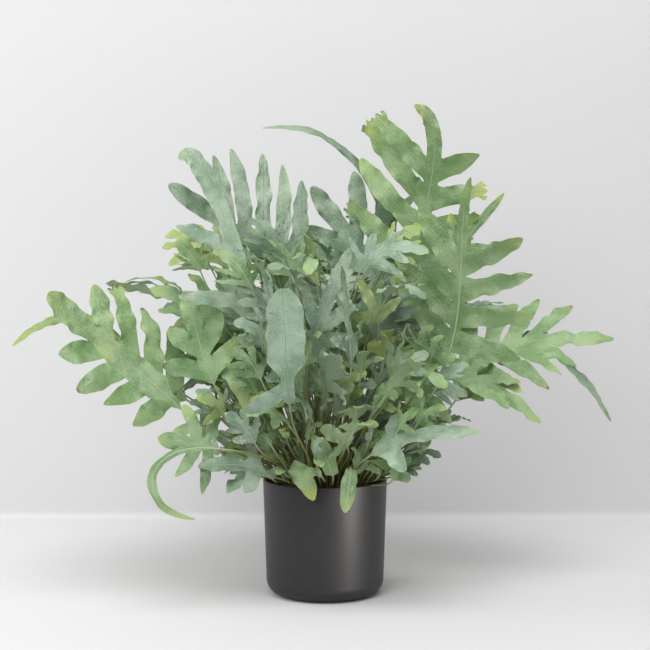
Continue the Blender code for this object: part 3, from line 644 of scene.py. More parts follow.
def lobe(frond, index, side, v, across, habit=None):
    """Places on one lobe, at v from its root to its tip and across from its rear edge to its front one."""
    habit = habit or frond.habits[index, side]
    rear, front = strip(frond, np.array(frond.roots[index]), [side])[:, 0]
    _, tangent, out, normal = (a[0] for a in rib(frond, np.array([sum(frond.roots[index]) / 2])))
    steps = (np.arange(LOBE_STEPS) + 0.5) / LOBE_STEPS
    angle = habit["angle"] - habit["sweep"] * steps
    fall = (habit["droop"] + frond.sag) * steps**1.3 - habit["arch"] * (1 - 1.7 * steps)
    heading = np.outer(np.cos(angle), tangent) + np.outer(np.sin(angle) * side, out)
    heading = unit(heading - np.outer(0.70 * fall, normal) - np.outer(0.50 * fall, UP))
    run = np.vstack((np.zeros(3), np.cumsum(heading, 0))) * habit["long"] / LOBE_STEPS
    v = np.asarray(v, float)
    at = np.linspace(0, 1, LOBE_STEPS + 1)
    centre = (rear + front) / 2 + np.stack([np.interp(v, at, run[:, k]) for k in range(3)], -1)
    way = unit(np.stack([np.interp(v, steps, heading[:, k]) for k in range(3)], -1))
    flat = unit(-side * np.cross(normal, way))
    top = side * np.cross(flat, way)
    roll = (habit["twist"] * v**1.5)[:, None]
    flat, top = flat * np.cos(roll) + top * np.sin(roll), top * np.cos(roll) - flat * np.sin(roll)
    taper = np.maximum(1 - v ** habit["blunt"], 0) ** 0.75
    wide = frond.lobe_wide / 2 * (0.88 + 0.12 * np.sin(math.pi * v**1.2)) * taper
    blend = smooth(v / ROOT_BLEND)[:, None]
    half = (1 - blend) * (front - rear) / 2 + blend * wide[:, None] * flat
    c = np.asarray(across, float)[None, :]
    wave = frond.wave * np.sin(2 * math.pi * LOBE_RIPPLES * v[:, None] + habit["phase"] + 1.9 * (c > 0))
    lift = (CUP * wide[:, None] * np.abs(c) + wave * c * c * (1 - v[:, None] ** 4)) * blend
    return centre[:, None] + half[:, None] * c[..., None] + top[:, None] * lift[..., None]


# %% The stalk


def stalk(frond, steps):
    """The stalk's stations above the soil, up to the blade: places and sides."""
    _, tangent, _, _ = rib(frond, np.zeros(1))
    gap = frond.base - frond.foot
    far = np.linalg.norm(gap)
    lean = unit(0.55 * UP + 0.45 * gap / far)
    corners = (frond.foot, frond.foot + lean * far * 0.36, frond.base - tangent[0] * far * 0.30, frond.base)
    place, way = bezier(corners, np.arange(1, steps) / steps)
    face = unit(frond.face - (way @ frond.face)[:, None] * way)
    return place, np.cross(face, way)


def foot_side(frond):
    """The way across the stalk where it stands in the soil."""
    return unit(np.cross(frond.face - (UP @ frond.face) * UP, UP))


def foot_rows(group):
    """The points across the foot of one stalk, or of a forking pair: in the hole, and at its mouth."""
    side = unit(sum(foot_side(frond) for frond in group))
    group.sort(key=lambda frond: frond.base @ side)
    across = (np.arange(len(group) + 1) - len(group) / 2) * STALK
    mouth = group[0].foot + across[:, None] * side
    return mouth - UP * (HOLE_DEPTH + FOOT_RISE), mouth


# %% [markdown]
# The coarse sheet is sewn from rows of two or three points. Fronds are told apart by closed shells around
# these sheets, because two sheets can lie nearer to each other than a blade is thick without meeting.

# %% A coarse sheet


class Sheet:
    """A surface being sewn: points, triangles, and how far each point belongs to the stalk."""

    def __init__(self):
        self.points, self.faces, self.stem = [], [], []

    def add(self, points, stem=0.0):
        first = len(self.points)
        self.points.extend(points)
        self.stem.extend([stem] * len(points))
        return list(range(first, first + len(points)))

    def join(self, near, far, flip=False):
        """Triangles between two rows of points, of the same length or down to one."""
        if len(far) == 1:
            far = far * len(near)
        for a, b, c, d in zip(near, near[1:], far[1:], far):
            pieces = [(a, b, c), (a, c, d)] if c != d else [(a, b, c)]
            self.faces.extend(p[::-1] if flip else p for p in pieces)

    def arrays(self):
        return np.array(self.points), np.array(self.faces), np.array(self.stem)


def sheet_of(group):
    """The middle surface of a frond, or of a forking pair, from the foot of the stalk to the tips."""
    sheet = Sheet()
    low, mouth = (sheet.add(list(row), 1.0) for row in foot_rows(group))
    sheet.join(low, mouth)
    for index, frond in enumerate(group):
        sew(sheet, frond, mouth[index:index + 2])
    return sheet.arrays()


def sew(sheet, frond, near):
    """Adds one frond's stalk, rib strip and lobes to the sheet, on from the stalk's foot."""
    for p, s in zip(*stalk(frond, STALK_STEPS)):
        row = sheet.add([p - s * STALK / 2, p + s * STALK / 2], 1.0)
        sheet.join(near, row)
        near = row
    tail = np.linalg.norm(np.diff(rib(frond, np.linspace(frond.end, 1, 9))[0], axis=0), axis=1).sum()
    shares = STRAP_STATIONS if tail > LONG_TAIL else TAIL_STATIONS
    stations = sorted({0.0, *(u for pair in frond.roots for u in pair), frond.end})
    rows = {}
    for u in stations + [frond.end + (1 - frond.end) * x for x in shares]:
        points = strip(frond, np.array([u]), [-1, 0, 1])[0]
        row = sheet.add(points)
        sheet.stem[row[1]] = 0.55 * (1 - u) + 0.12
        rows[u] = row
        if u == 0.0:
            for k in row:
                sheet.stem[k] = 1.0
            left, right = near
            sheet.faces.extend([(left, right, row[1]), (left, row[1], row[0]), (right, row[2], row[1])])
        else:
            sheet.join(near, row)
        near = row
    sheet.join(near, sheet.add(strip(frond, np.array([1.0]), [0])[0]))
    for index, (rear, front) in enumerate(frond.roots):
        for side in (1, -1):
            if (index, side) in frond.habits:
                edge = 2 if side == 1 else 0
                sew_lobe(sheet, frond, index, side, [rows[rear][edge], rows[front][edge]])


# %% The lobes of a sheet


def sew_lobe(sheet, frond, index, side, near, habit=None):
    """Adds one lobe to the sheet, on from the two points at its root."""
    habit = habit or frond.habits[index, side]
    for v in SHORT_LOBE_STATIONS if habit["long"] < SHORT_LOBE else LOBE_STATIONS:
        row = sheet.add(lobe(frond, index, side, [v], [-1, 1], habit)[0])
        sheet.join(near, row, flip=side == 1)
        near = row
    sheet.join(near, sheet.add(lobe(frond, index, side, [1.0], [0], habit)[0]), flip=side == 1)


def swollen(points, faces, thick, margin=0.0):
    """The closed shell round a sheet: points moved out by their own thickness, and the edge by the margin."""
    a, b, c = (points[faces[:, k]] for k in range(3))
    flat = np.cross(b - a, c - a)
    normals = np.zeros_like(points)
    for k in range(3):
        np.add.at(normals, faces[:, k], flat)
    normals = unit(normals + 1e-12)
    ends = np.vstack([faces[:, [k, (k + 1) % 3]] for k in range(3)])
    owner = np.tile(np.arange(len(faces)), 3)
    code = ends.min(1) * len(points) + ends.max(1)
    _, first, count = np.unique(code, return_index=True, return_counts=True)
    rim = ends[first[count == 1]]
    outward = np.cross(points[rim[:, 1]] - points[rim[:, 0]], unit(flat[owner[first[count == 1]]] + 1e-15))
    push = np.zeros_like(points)
    for k in range(2):
        np.add.at(push, rim[:, k], outward)
    grown = points + margin * push / np.maximum(np.linalg.norm(push, axis=1, keepdims=True), 1e-9)
    skins = np.vstack((grown + normals * thick[:, None], grown - normals * thick[:, None]))
    n = len(points)
    walls = np.vstack((np.column_stack((rim, rim[:, 1] + n)), np.column_stack((rim[:, 0], rim + n))))
    return skins, np.vstack((faces, faces[:, ::-1] + n, walls))


# %% Finding room
SELF_GAP = 0.0002
FOOT_SLACK = 0.008
OVER_SOIL = 0.004
OVER_FLOOR = 0.03


def crosses_itself(points, faces, stem):
    """True where lobes of one frond run into each other."""
    thick = (BLADE + (STALK - BLADE) * stem) / 2 + SELF_GAP
    skins, skin_faces = swollen(points, faces, thick)
    tree = BVHTree.FromPolygons(skins.tolist(), skin_faces.tolist(), all_triangles=True)
    pairs = np.array(tree.overlap(tree))
    if not len(pairs):
        return False
    one, other = (skin_faces[pairs[:, k]] % len(points) for k in range(2))
    touching = (one[:, :, None] == other[:, None, :]).any((1, 2))
    return bool((~touching).any())


class Clump:
    """What already stands, for finding room for the next frond."""

    def __init__(self):
        self.placed = []
        self.feet = []

    def has_footing(self, foot):
        """True where a hole for this stalk stays inside the soil and apart from the holes already made."""
        if math.hypot(*foot[:2]) > FOOT_FAR + FOOT_SLACK:
            return False
        return all(math.hypot(*(foot - other)[:2]) > HOLE_SPACING for other in self.feet)

    def add(self, points, faces):
        tree = BVHTree.FromPolygons(points.tolist(), faces.tolist(), all_triangles=True)
        self.placed.append((tree, points.min(0), points.max(0)))

    def clear(self, points, faces):
        low, high = points.min(0), points.max(0)
        tree = BVHTree.FromPolygons(points.tolist(), faces.tolist(), all_triangles=True)
        for other, other_low, other_high in reversed(self.placed):
            if (low < other_high).all() and (high > other_low).all() and tree.overlap(other):
                return False
        return True


def above_soil(points, stem):
    """True where the blade keeps off the soil, and off the floor outside the pot."""
    blade = points[stem < 0.99]
    inside = np.hypot(blade[:, 0], blade[:, 1]) < POT_RADIUS
    return (blade[inside, 2] > SOIL_TOP + OVER_SOIL).all() and (blade[:, 2] > OVER_FLOOR).all()


def skins_of(points, faces, stem):
    """What another frond has to keep clear of."""
    return swollen(points, faces, (BLADE + (STALK - BLADE) * stem + CLEARANCE) / 2, CLEARANCE / 2)


# %% Bending lobes aside
CALMINGS = 5
TILT_SHARE = 0.4


def fitted(frond, clump):
    """The frond with each lobe bent or shortened until it is clear, and left off where it never is."""
    habits = {}
    for (index, side), habit in frond.habits.items():
        for droop, size, angle in LOBE_BENDS:
            bent = dict(habit, droop=habit["droop"] + droop, angle=habit["angle"] + angle)
            bent["long"] *= size
            sheet = Sheet()
            root = sheet.add(lobe(frond, index, side, [0.0], [-1, 1], bent)[0])
            sew_lobe(sheet, frond, index, side, root, bent)
            if clump.clear(*skins_of(*sheet.arrays())):
                habits[index, side] = bent
                break
    return with_habits(frond, habits)


def settle(group, clump, freedom, lost=LOST_LOBES):
    """The frond or pair, swung by growing random steps and bent until clear, with its sheet, or None."""
    draw = random.Random(group[0].seed + 100)
    for _ in range(CALMINGS):
        if crosses_itself(*sheet_of(group)):
            group = [calmed(frond) for frond in group]
    lobes = sum(len(frond.habits) for frond in group)
    for k in range(TRIES):
        reach = freedom * k / TRIES
        turn = math.radians(reach * draw.uniform(-1, 1))
        tilt = math.radians(TILT_SHARE * reach * draw.uniform(-1, 1))
        slide = np.array([SLIDE * k / TRIES * draw.uniform(-1, 1) for _ in range(2)])
        trial = [swung(frond, turn, tilt, slide) for frond in group]
        if not clump.has_footing(trial[0].foot):
            continue
        if not clump.clear(*skins_of(*sheet_of([with_habits(frond, {}) for frond in trial]))):
            continue
        trial = [fitted(frond, clump) for frond in trial]
        if sum(len(frond.habits) for frond in trial) < lobes * (1 - lost):
            continue
        sheet = sheet_of(trial)
        skins = skins_of(*sheet)
        if above_soil(sheet[0], sheet[2]) and not crosses_itself(*sheet) and clump.clear(*skins):
            clump.add(*skins)
            clump.feet.append(trial[0].foot)
            return trial, sheet
    return None


# %% [markdown]
# The table gives each large frond its tint, the blade's base and tip, the way it faces, its pairs of lobes,
# and the length and width of a lobe.

# %% Fronds seen from the front
SHOWN = [
    Frond("frond_front_shield", "blue", (-0.039, -0.170, 0.248), (-0.045, -0.178, 0.380), (0.0, -1.0, 0.06),
          1, 0.058, 0.021, angle=112, rise=0.0, sag=0.1, tail=0.78, tail_wide=0.042, wave=0.0018, sides=(1,),
          blunt=9, seed=11),
    Frond("frond_right_fan", "green", (0.143, -0.020, 0.281), (0.162, -0.150, 0.501), (0.0, -0.80, 0.60), 4,
          0.106, 0.031, angle=60, skew=16, rise=0.0, sag=0.30, tail=0.42, tail_wide=0.012, wing=0.006,
          lop=0.08, arch=0.7, seed=12,
          bends=((0.172, -0.030, 0.355), (0.146, -0.105, 0.445))),
    Frond("frond_left_fan", "green", (-0.166, -0.010, 0.236), (-0.315, -0.110, 0.371), (0.1, -0.80, 0.50), 4,
          0.080, 0.031, angle=57, rise=0.0, sag=0.05, tail=0.34, lop=-0.10, seed=13,
          bends=((-0.208, -0.018, 0.262), (-0.290, -0.080, 0.330))),
    Frond("frond_left_far_whip", "lime", (-0.236, 0.010, 0.296), (-0.372, -0.020, 0.302), (-0.1, -0.8, 0.6),
          0, 0.10, 0.013, rise=0.045, seed=36),
    Frond("frond_left_front", "green", (-0.166, -0.085, 0.234), (-0.263, -0.120, 0.317), (0.05, -0.9, 0.35),
          0, 0.05, 0.031, rise=0.006, wing=0.006, seed=14),
    Frond("frond_left_middle", "green", (-0.129, -0.070, 0.261), (-0.163, -0.062, 0.371), (0.0, -0.9, 0.35),
          2, 0.052, 0.024, angle=56, rise=0.0, sag=0.1, tail=0.46, seed=37),
    Frond("frond_upper_left_fan", "blue", (-0.022, 0.020, 0.384), (-0.184, -0.040, 0.495),
          (0.05, -0.97, 0.2), 5, 0.108, 0.024, angle=60, rise=0.0, sag=0.0, tail=0.36, tail_wide=0.022,
          sides=(-1,), lively=0.35, arch=0.1, seed=15,
          bends=((-0.072, 0.016, 0.412), (-0.142, -0.020, 0.462))),
    Frond("frond_upper_left_strap", "blue", (-0.074, -0.060, 0.318), (-0.170, -0.060, 0.522),
          (0.35, -0.9, 0.2), 2, 0.098, 0.019, angle=62, rise=0.0, sag=0.05, tail=0.52, tail_wide=0.024,
          wing=0.009, wave=0.003, sides=(1,), seed=16,
          bends=((-0.093, -0.060, 0.383), (-0.143, -0.030, 0.560))),
    Frond("frond_top_fan", "green", (0.107, 0.060, 0.378), (0.104, -0.030, 0.587), (-0.1, -0.92, 0.35), 4,
          0.094, 0.030, angle=63, skew=5, rise=0.0, sag=0.05, tail=0.40, tail_wide=0.018, wing=0.009,
          lop=0.20, seed=17,
          bends=((0.117, 0.050, 0.458), (0.158, 0.000, 0.571))),
    Frond("frond_top_whip", "blue", (0.088, 0.100, 0.400), (-0.079, 0.040, 0.563), (-0.2, -0.8, 0.5), 1,
          0.060, 0.012, angle=50, tail=0.72, tail_wide=0.009, sag=0.2, seed=18,
          bends=((0.072, 0.090, 0.500), (0.020, 0.060, 0.580))),
    Frond("frond_upper_middle", "blue", (0.074, 0.080, 0.350), (-0.016, 0.060, 0.494), (0.0, -1.0, 0.15), 3,
          0.100, 0.029, angle=50, rise=0.0, sag=0.0, tail=0.38, tail_wide=0.024, lively=0.4, seed=19),
    Frond("frond_right_curl", "green", (0.150, 0.020, 0.400), (0.215, 0.000, 0.485), (0.2, -0.9, 0.3), 1,
          0.045, 0.013, angle=45, rise=0.0, sag=0.2, tail=0.60, tail_wide=0.010, seed=38),
    Frond("frond_right_reach", "green", (0.157, 0.050, 0.268), (0.356, 0.040, 0.306), (0.1, -0.62, 0.75), 4,
          0.090, 0.024, angle=55, rise=0.012, sag=0.2, tail=0.42, seed=20),
    Frond("frond_right_whip", "blue", (0.176, 0.092, 0.270), (0.352, 0.030, 0.203), (0.2, -0.6, 0.8), 2,
          0.062, 0.013, angle=48, tail=0.62, sag=0.3, seed=21,
          bends=((0.245, 0.080, 0.330), (0.310, 0.050, 0.290))),
    Frond("frond_right_low", "green", (0.146, 0.000, 0.258), (0.254, -0.020, 0.206), (0.2, -0.5, 0.85), 2,
          0.056, 0.023, angle=42, rise=0.012, sag=0.2, tail=0.50, seed=22),
    Frond("frond_right_small", "green", (0.092, -0.028, 0.250), (0.148, -0.062, 0.214), (0.2, -0.7, 0.6), 1,
          0.040, 0.018, angle=50, rise=0.01, sag=0.2, tail=0.62, seed=23),
    Frond("frond_left_palm", "green", (-0.122, -0.100, 0.190), (-0.190, -0.128, 0.206), (0.1, -0.95, 0.3), 2,
          0.056, 0.021, angle=78, rise=0.0, sag=0.1, tail=0.50, seed=24),
    Frond("frond_left_whip", "green", (-0.132, -0.128, 0.196), (-0.149, -0.150, 0.119), (-0.4, -0.9, 0.2), 0,
          0.10, 0.011, rise=0.0, seed=25, bends=((-0.215, -0.130, 0.205), (-0.225, -0.140, 0.125))),
    Frond("frond_left_arch", "green", (-0.142, -0.010, 0.256), (-0.104, -0.105, 0.226), (-0.3, -0.7, 0.7), 0,
          0.10, 0.021, rise=0.034, seed=26),
    Frond("frond_rim_left", "blue", (-0.062, -0.088, 0.160), (-0.136, -0.128, 0.174), (0.0, -0.8, 0.6), 1,
          0.034, 0.020, angle=66, rise=0.008, tail=0.66, seed=27),
    Frond("frond_rim_front", "green", (-0.038, -0.082, 0.160), (-0.002, -0.104, 0.124), (-0.3, -0.9, 0.5), 0,
          0.05, 0.023, rise=0.010, seed=28),
    Frond("frond_rim_drop", "green", (0.030, -0.088, 0.165), (0.023, -0.106, 0.116), (0.1, -1.0, 0.3), 0,
          0.05, 0.019, rise=0.006, seed=29),
    Frond("frond_front_olive", "green", (0.009, -0.082, 0.156), (-0.012, -0.104, 0.206), (-0.2, -1.0, 0.3), 0,
          0.05, 0.024, rise=0.0, seed=39),
    Frond("frond_front_green", "green", (0.026, -0.086, 0.190), (-0.006, -0.118, 0.214), (-0.1, -0.9, 0.4), 1,
          0.030, 0.020, angle=70, rise=0.004, sag=0.1, tail=0.66, seed=40),
    Frond("frond_low_right", "blue", (0.050, -0.115, 0.182), (0.172, -0.160, 0.212), (0.0, -0.75, 0.65), 1,
          0.046, 0.023, angle=62, rise=0.010, tail=0.62, tail_wide=0.019, seed=30),
    Frond("frond_centre_spear", "blue", (-0.018, -0.100, 0.296), (0.029, -0.104, 0.422), (0.1, -1.0, 0.1), 2,
          0.052, 0.021, angle=50, rise=0.0, sag=0.05, tail=0.60, tail_wide=0.018, seed=31),
    Frond("frond_centre_ribbon", "blue", (0.038, -0.130, 0.284), (0.029, -0.148, 0.400), (0.9, -0.5, 0.1), 1,
          0.045, 0.016, angle=50, rise=0.0, tail=0.62, wave=0.003, seed=32),
    Frond("frond_centre_lime", "lime", (0.062, -0.066, 0.330), (0.040, -0.096, 0.384), (-0.1, -0.9, 0.4), 1,
          0.034, 0.016, angle=66, rise=0.0, sag=0.4, tail=0.60, tail_wide=0.014, seed=33),
    Frond("frond_centre_olive", "lime", (-0.010, 0.050, 0.372), (-0.029, 0.040, 0.446), (0.2, -0.9, 0.2), 0,
          0.05, 0.020, rise=0.0, seed=34),
    Frond("frond_right_shade", "green", (0.074, 0.040, 0.240), (0.066, 0.050, 0.360), (0.0, -0.9, 0.4), 3,
          0.084, 0.025, angle=55, rise=0.0, tail=0.42, seed=35),
]

# %% [markdown]
# The rings give only ranges. Bearings stepped by the golden ratio spread the fronds evenly over a ring's own
# stretch, and a seeded draw makes each one differ a little.

# %% Rings of smaller fronds
# Each line gives a ring's name, its tints, how many feet it has and how many fronds stand on each, the
# bearings that it fills, how far out and how high a blade starts, its run and its climb, the length and width
# of a lobe, the pairs of lobes, by how many degrees a frond may swing, and how far the blades face the
# camera's side.
MIXED = ("blue", "green", "blue")
RINGS = [
    ("bib", ("green", "blue"), 4, 2, (215, 325), (0.062, 0.175), (0.060, 0.030), (0.042, 0.023), 2, 60, 0.6),
    ("heart", MIXED, 5, 2, (190, 350), (0.070, 0.245), (0.070, 0.050), (0.050, 0.024), 2, 70, 0.6),
    ("front", MIXED, 5, 1, (195, 318), (0.095, 0.270), (0.100, 0.060), (0.070, 0.027), 3, 45, 0.5),
    ("crown", MIXED, 6, 1, (175, 385), (0.055, 0.300), (0.080, 0.085), (0.076, 0.030), 3, 50, 0.8),
    ("back", MIXED, 6, 1, (5, 175), (0.130, 0.315), (0.140, 0.060), (0.084, 0.029), 4, 35, 0.0),
    ("skirt", ("green", "blue"), 2, 2, (-10, 190), (0.095, 0.200), (0.090, 0.005), (0.050, 0.023), 2, 60, 0.1),
]
FORK = 15
FORK_LIFT = 0.16
GOLDEN_TURN = 0.618034
NEXT_DRAW = 0.11


def ring_group(ring, index, again):
    """What stands on one foot of a ring: bearings by the golden ratio, differences by a seeded draw."""
    label, tints, _, members, bearings, (out_by, up_by), (run, climb), (long, wide), pairs, _, front = ring
    draw = random.Random(f"{label} {index} {again}")
    share = ((index + 0.5) * GOLDEN_TURN + NEXT_DRAW * again) % 1.0
    middle = bearings[0] + (bearings[1] - bearings[0]) * share
    group = []
    for member in range(members):
        spread = (2 * member - 1) if members == 2 else 0
        bearing = math.radians(middle + spread * FORK * draw.uniform(0.8, 1.4))
        out = np.array((math.cos(bearing), math.sin(bearing), 0.0))
        size = draw.uniform(0.88, 1.12) * (1 - 0.02 * again)
        high = up_by * draw.uniform(0.88, 1.12) * (1 + spread * FORK_LIFT * draw.choice((-1, 1)))
        base = out * out_by * size + UP * high
        tip = base + out * run * size + UP * climb * draw.uniform(0.7, 1.3)
        across = np.cross(UP, out) * draw.uniform(-0.4, 0.4)
        face = unit(UP * 0.75 - out * draw.uniform(-0.5, 0.3) + across + np.array((0.0, -front, 0.0)))
        group.append(Frond(f"frond_{label}_{index + 1:02d}", tints[index % len(tints)], base, tip, face,
                           pairs, long * size, wide, rise=0.02, sag=draw.uniform(0.1, 0.4), share=1.0,
                           lively=1.0, seed=draw.randrange(10**6)))
    for frond in group:
        frond.foot = sum(other.foot for other in group) / members
    return group


def pot_shape():
    """Flat underside, rounded corner, slightly tapered wall, thin rounded rim, and the hollow inside."""
    corner_out = wall_radius(POT_CORNER)
    reach = corner_out - POT_FOOT_RADIUS
    profile = [(0.0, 0.0)]
    for k in range(5):
        a = math.pi / 2 * k / 4
        profile.append((POT_FOOT_RADIUS + reach * math.sin(a), POT_CORNER * (1 - math.cos(a))))
    lip = POT_WALL / 2
    profile.append((wall_radius(POT_HEIGHT - lip), POT_HEIGHT - lip))
    profile.append((POT_RADIUS - lip, POT_HEIGHT))
    profile.append((POT_RADIUS - POT_WALL, POT_HEIGHT - lip))
    inner_reach = corner_out - POT_WALL - POT_FOOT_RADIUS
    for k in range(3):
        a = math.pi / 2 * (1 - k / 2)
        profile.append((POT_FOOT_RADIUS + inner_reach * math.sin(a),
                        POT_FLOOR + (POT_CORNER - POT_FLOOR) * (1 - math.cos(a))))
    profile.append((0.0, POT_FLOOR))
    return ring_wall(profile, POT_SIDES)


def all_fronds():
    """Every frond of the plant with its sheet, those seen from the front first."""
    clump = Clump()
    points, faces = pot_shape()
    clump.add(np.array(points), np.array(faces))
    made = [settle([frond], clump, 12, 0.0) or settle([frond], clump, 30) for frond in SHOWN]
    for ring in RINGS:
        for index in range(ring[2]):
            for again in range(REDRAWS):
                found = settle(ring_group(ring, index, again), clump, ring[9])
                if found:
                    break
            made.append(found)
    return [found for found in made if found]


# %% The search
stands = all_fronds()
print("settled:", len(stands), "feet with", sum(len(group) for group, _ in stands), "fronds")

# %% [markdown]
# ## The fine blade
# Up close a lobe isn't a flat strap. Its edge runs in and out, its margin ripples, and its tip may be blunt,
# pointed or crested. The fine skin is a grid of points on the same strip and lobes, moved a little by these
# habits. A lobe's first row is the strip's own edge, so the whole blade is one surface.

# %% A grid of points with notes
ACROSS = np.linspace(-1, 1, 9)
ROW = 0.0036
NOTES = ("run", "vein", "edge", "lime", "tone", "scorch")


class Skin:
    """The middle surface of a blade: points, four-sided faces, and the notes that its finish reads."""

    def __init__(self):
        self.points, self.notes, self.faces, self.count = [], [], [], 0

    def add(self, points, **notes):
        """Adds a grid of points and returns their numbers, in the same grid."""
        shape = points.shape[:2]
        numbers = self.count + np.arange(shape[0] * shape[1]).reshape(shape)
        self.count += numbers.size
        self.points.append(points.reshape(-1, 3))
        columns = [np.broadcast_to(notes.get(name, 0.0), shape).ravel() for name in NOTES]
        self.notes.append(np.stack(columns, -1))
        return numbers

    def cover(self, numbers, flip):
        """Faces between neighbours in a grid of point numbers."""
        corners = [numbers[:-1, :-1], numbers[:-1, 1:], numbers[1:, 1:], numbers[1:, :-1]]
        self.faces.append(np.stack(corners[::-1] if flip else corners, -1).reshape(-1, 4))


# %% Ruffles
OUTLINE_WAVES = (0.024, 0.040)
OUTLINE_SHARE = 0.05
FINE_WAVE = 0.0095
FINE_SHARE = 0.012
NARROW = 0.010
RUFFLE_START = 0.015
RUFFLE_END = 0.006
CREASES = (0.02, 0.26)


def ruffled(points, side, draw, ripple):
    """A grid of a lobe's points with its outline running in and out and its margins rippled."""
    out = unit(points[:, -1] - points[:, 0])[:, None]
    along = np.gradient(points[:, len(ACROSS) // 2], axis=0)[:, None]
    up = side * unit(np.cross(out, along))
    steps = np.linalg.norm(along[:, 0], axis=1)
    run = np.cumsum(steps)[:, None]
    c = ACROSS[None, :]
    half = 0.5 * np.linalg.norm(points[:, -1] - points[:, 0], axis=1)[:, None]
    phases = [draw.uniform(0, 2 * math.pi) for _ in range(6)]
    left, right = (c < 0), (c > 0)
    lengths = [draw.uniform(*OUTLINE_WAVES) for _ in range(2)]
    near = [2 * math.pi * run / length for length in lengths]
    outline = left * np.sin(near[0] + phases[0]) + right * np.sin(near[1] + phases[1])
    fine = np.sin(2 * math.pi * run / FINE_WAVE + phases[2] + 2.0 * right)
    width = OUTLINE_SHARE * outline + FINE_SHARE * fine
    hem = left * np.sin(near[1] * 1.6 + phases[3]) + right * np.sin(near[0] * 1.6 + phases[4])
    hem = 0.75 * hem + 0.5 * np.sin(near[0] * 0.7 + phases[5] + 2.5 * right)
    ripple = ripple * np.minimum(1.0, half / NARROW)
    fade = smooth(run / RUFFLE_START) * smooth((run[-1] - run) / RUFFLE_END + 0.3)
    crease = draw.uniform(*CREASES) * half * np.abs(c) ** 1.3
    lift = fade * (ripple * hem * np.abs(c) ** 2.5 - crease)
    moved = points + out * (half * c * width * fade)[..., None] + up * lift[..., None]
    return moved, half, run


# %% A crested tip
FINGER = 0.011


def crested(points, tooth):
    """A lobe's points with its tip kept wide and drawn out in short fingers, as on some real ones."""
    middle = points[:, len(ACROSS) // 2][:, None]
    half = 0.5 * np.linalg.norm(points[:, -1] - points[:, 0], axis=1)
    share = np.linspace(0, 1, len(points))
    held = np.maximum(half, half.max() * 0.75 * smooth((share - 0.7) / 0.2))
    spread = middle + (points - middle) * (held / half)[:, None, None]
    way = unit(points[-1] - points[-3])[None]
    finger = np.abs(np.cos(1.5 * math.pi * ACROSS + tooth)) * (1 - 0.4 * np.abs(ACROSS))
    reach = smooth((share - 0.75) / 0.25)[:, None] * finger[None, :]
    return spread + way * (FINGER * (reach - 0.5 * (share**4)[:, None]))[..., None]


# %% The strip and its notes
TIP = 0.985
STEM_MARKS = 5
NO_VEIN = 1.0
FAR_FROM_EDGE = 5.0


def strip_marks(frond):
    """Stations along the rib: a row of nine at the root of each lobe, and even steps elsewhere."""
    marks = list(np.linspace(0, frond.start, STEM_MARKS)) + [frond.end]
    for rear, front in frond.roots:
        marks += list(np.linspace(rear, front, len(ACROSS)))
    rows = max(6, math.ceil(frond.chord * (1 - frond.end) / ROW))
    marks += list(frond.end + (1 - frond.end) * TIP * np.arange(1, rows + 1) / rows)
    return np.unique(np.round(marks, 9))


def strip_veins(frond, marks, half):
    """The distance in millimetres from each point of the strip to the rib or to a lobe's vein."""
    vein = np.abs(ACROSS)[None, :] * half
    for index, side in frond.habits:
        angle = frond.habits[index, side]["angle"]
        gone = (marks - sum(frond.roots[index]) / 2)[:, None] * frond.chord
        gone = gone + (1 - np.abs(ACROSS))[None, :] * half / math.tan(max(angle, 0.4))
        near = np.where(ACROSS[None, :] * side >= 0, np.abs(gone) * math.sin(angle), NO_VEIN)
        vein = np.minimum(vein, near)
    return 1000 * vein


def lay_strip(skin, frond, marks, look):
    """Adds the rib's strip with the end lobe, and returns the numbers of its points."""
    points = strip(frond, marks, ACROSS)
    x = np.clip((marks - frond.end) / (1 - frond.end), 0, 1)[:, None]
    half = half_width(frond, marks)[:, None]
    tail = points[x[:, 0] > 0]
    points[x[:, 0] > 0] = ruffled(tail, -1, look["draw"], look["ripple"])[0]
    edge = 1000 * (1 - np.abs(ACROSS))[None, :] * half
    for index, side in frond.habits:
        rear, front = frond.roots[index]
        rooted = (marks > rear + 1e-6) & (marks < front - 1e-6)
        edge[np.ix_(rooted, ACROSS * side > 0)] = FAR_FROM_EDGE
    length = frond.chord * (1 - frond.end)
    lime = look["lime"] * smooth((x - 0.45) / 0.55)
    veins = strip_veins(frond, marks, half)
    return skin.add(points, run=1000 * x * length, vein=veins, edge=edge, lime=lime, tone=look["tone"])


# %% A lobe and its notes


def lay_lobe(skin, frond, index, side, roots, look):
    """Adds one lobe, whose first row is the strip's edge."""
    draw = look["draw"]
    long = frond.habits[index, side]["long"]
    rows = max(8, math.ceil(long / ROW))
    v = TIP * (1 - (1 - np.arange(1, rows + 1) / rows) ** 1.25)
    points, half, run = ruffled(lobe(frond, index, side, v, ACROSS), side, draw, look["ripple"])
    if draw.random() < look["crests"]:
        points = crested(points, draw.uniform(0, 3))
    tone = look["tone"] + 0.5 * draw.uniform(-1, 1) * smooth(v / 0.25)[:, None]
    edge = np.minimum((1 - np.abs(ACROSS))[None, :] * half, (1.01 - v)[:, None] * long)
    lime = min(1.0, look["lime"] * draw.uniform(0.2, 1.6))
    lime = lime * smooth((v - draw.uniform(0.35, 0.7)) / 0.5)[:, None]
    burnt = (draw.random() < look["scorch"]) * smooth((v - 0.93) / 0.05)[:, None]
    notes = {"run": 1000 * run, "vein": 1000 * np.abs(ACROSS)[None, :] * half, "edge": 1000 * edge}
    numbers = skin.add(points, lime=lime, tone=tone, scorch=burnt, **notes)
    skin.cover(np.vstack((roots[None, :], numbers)), side == -1)


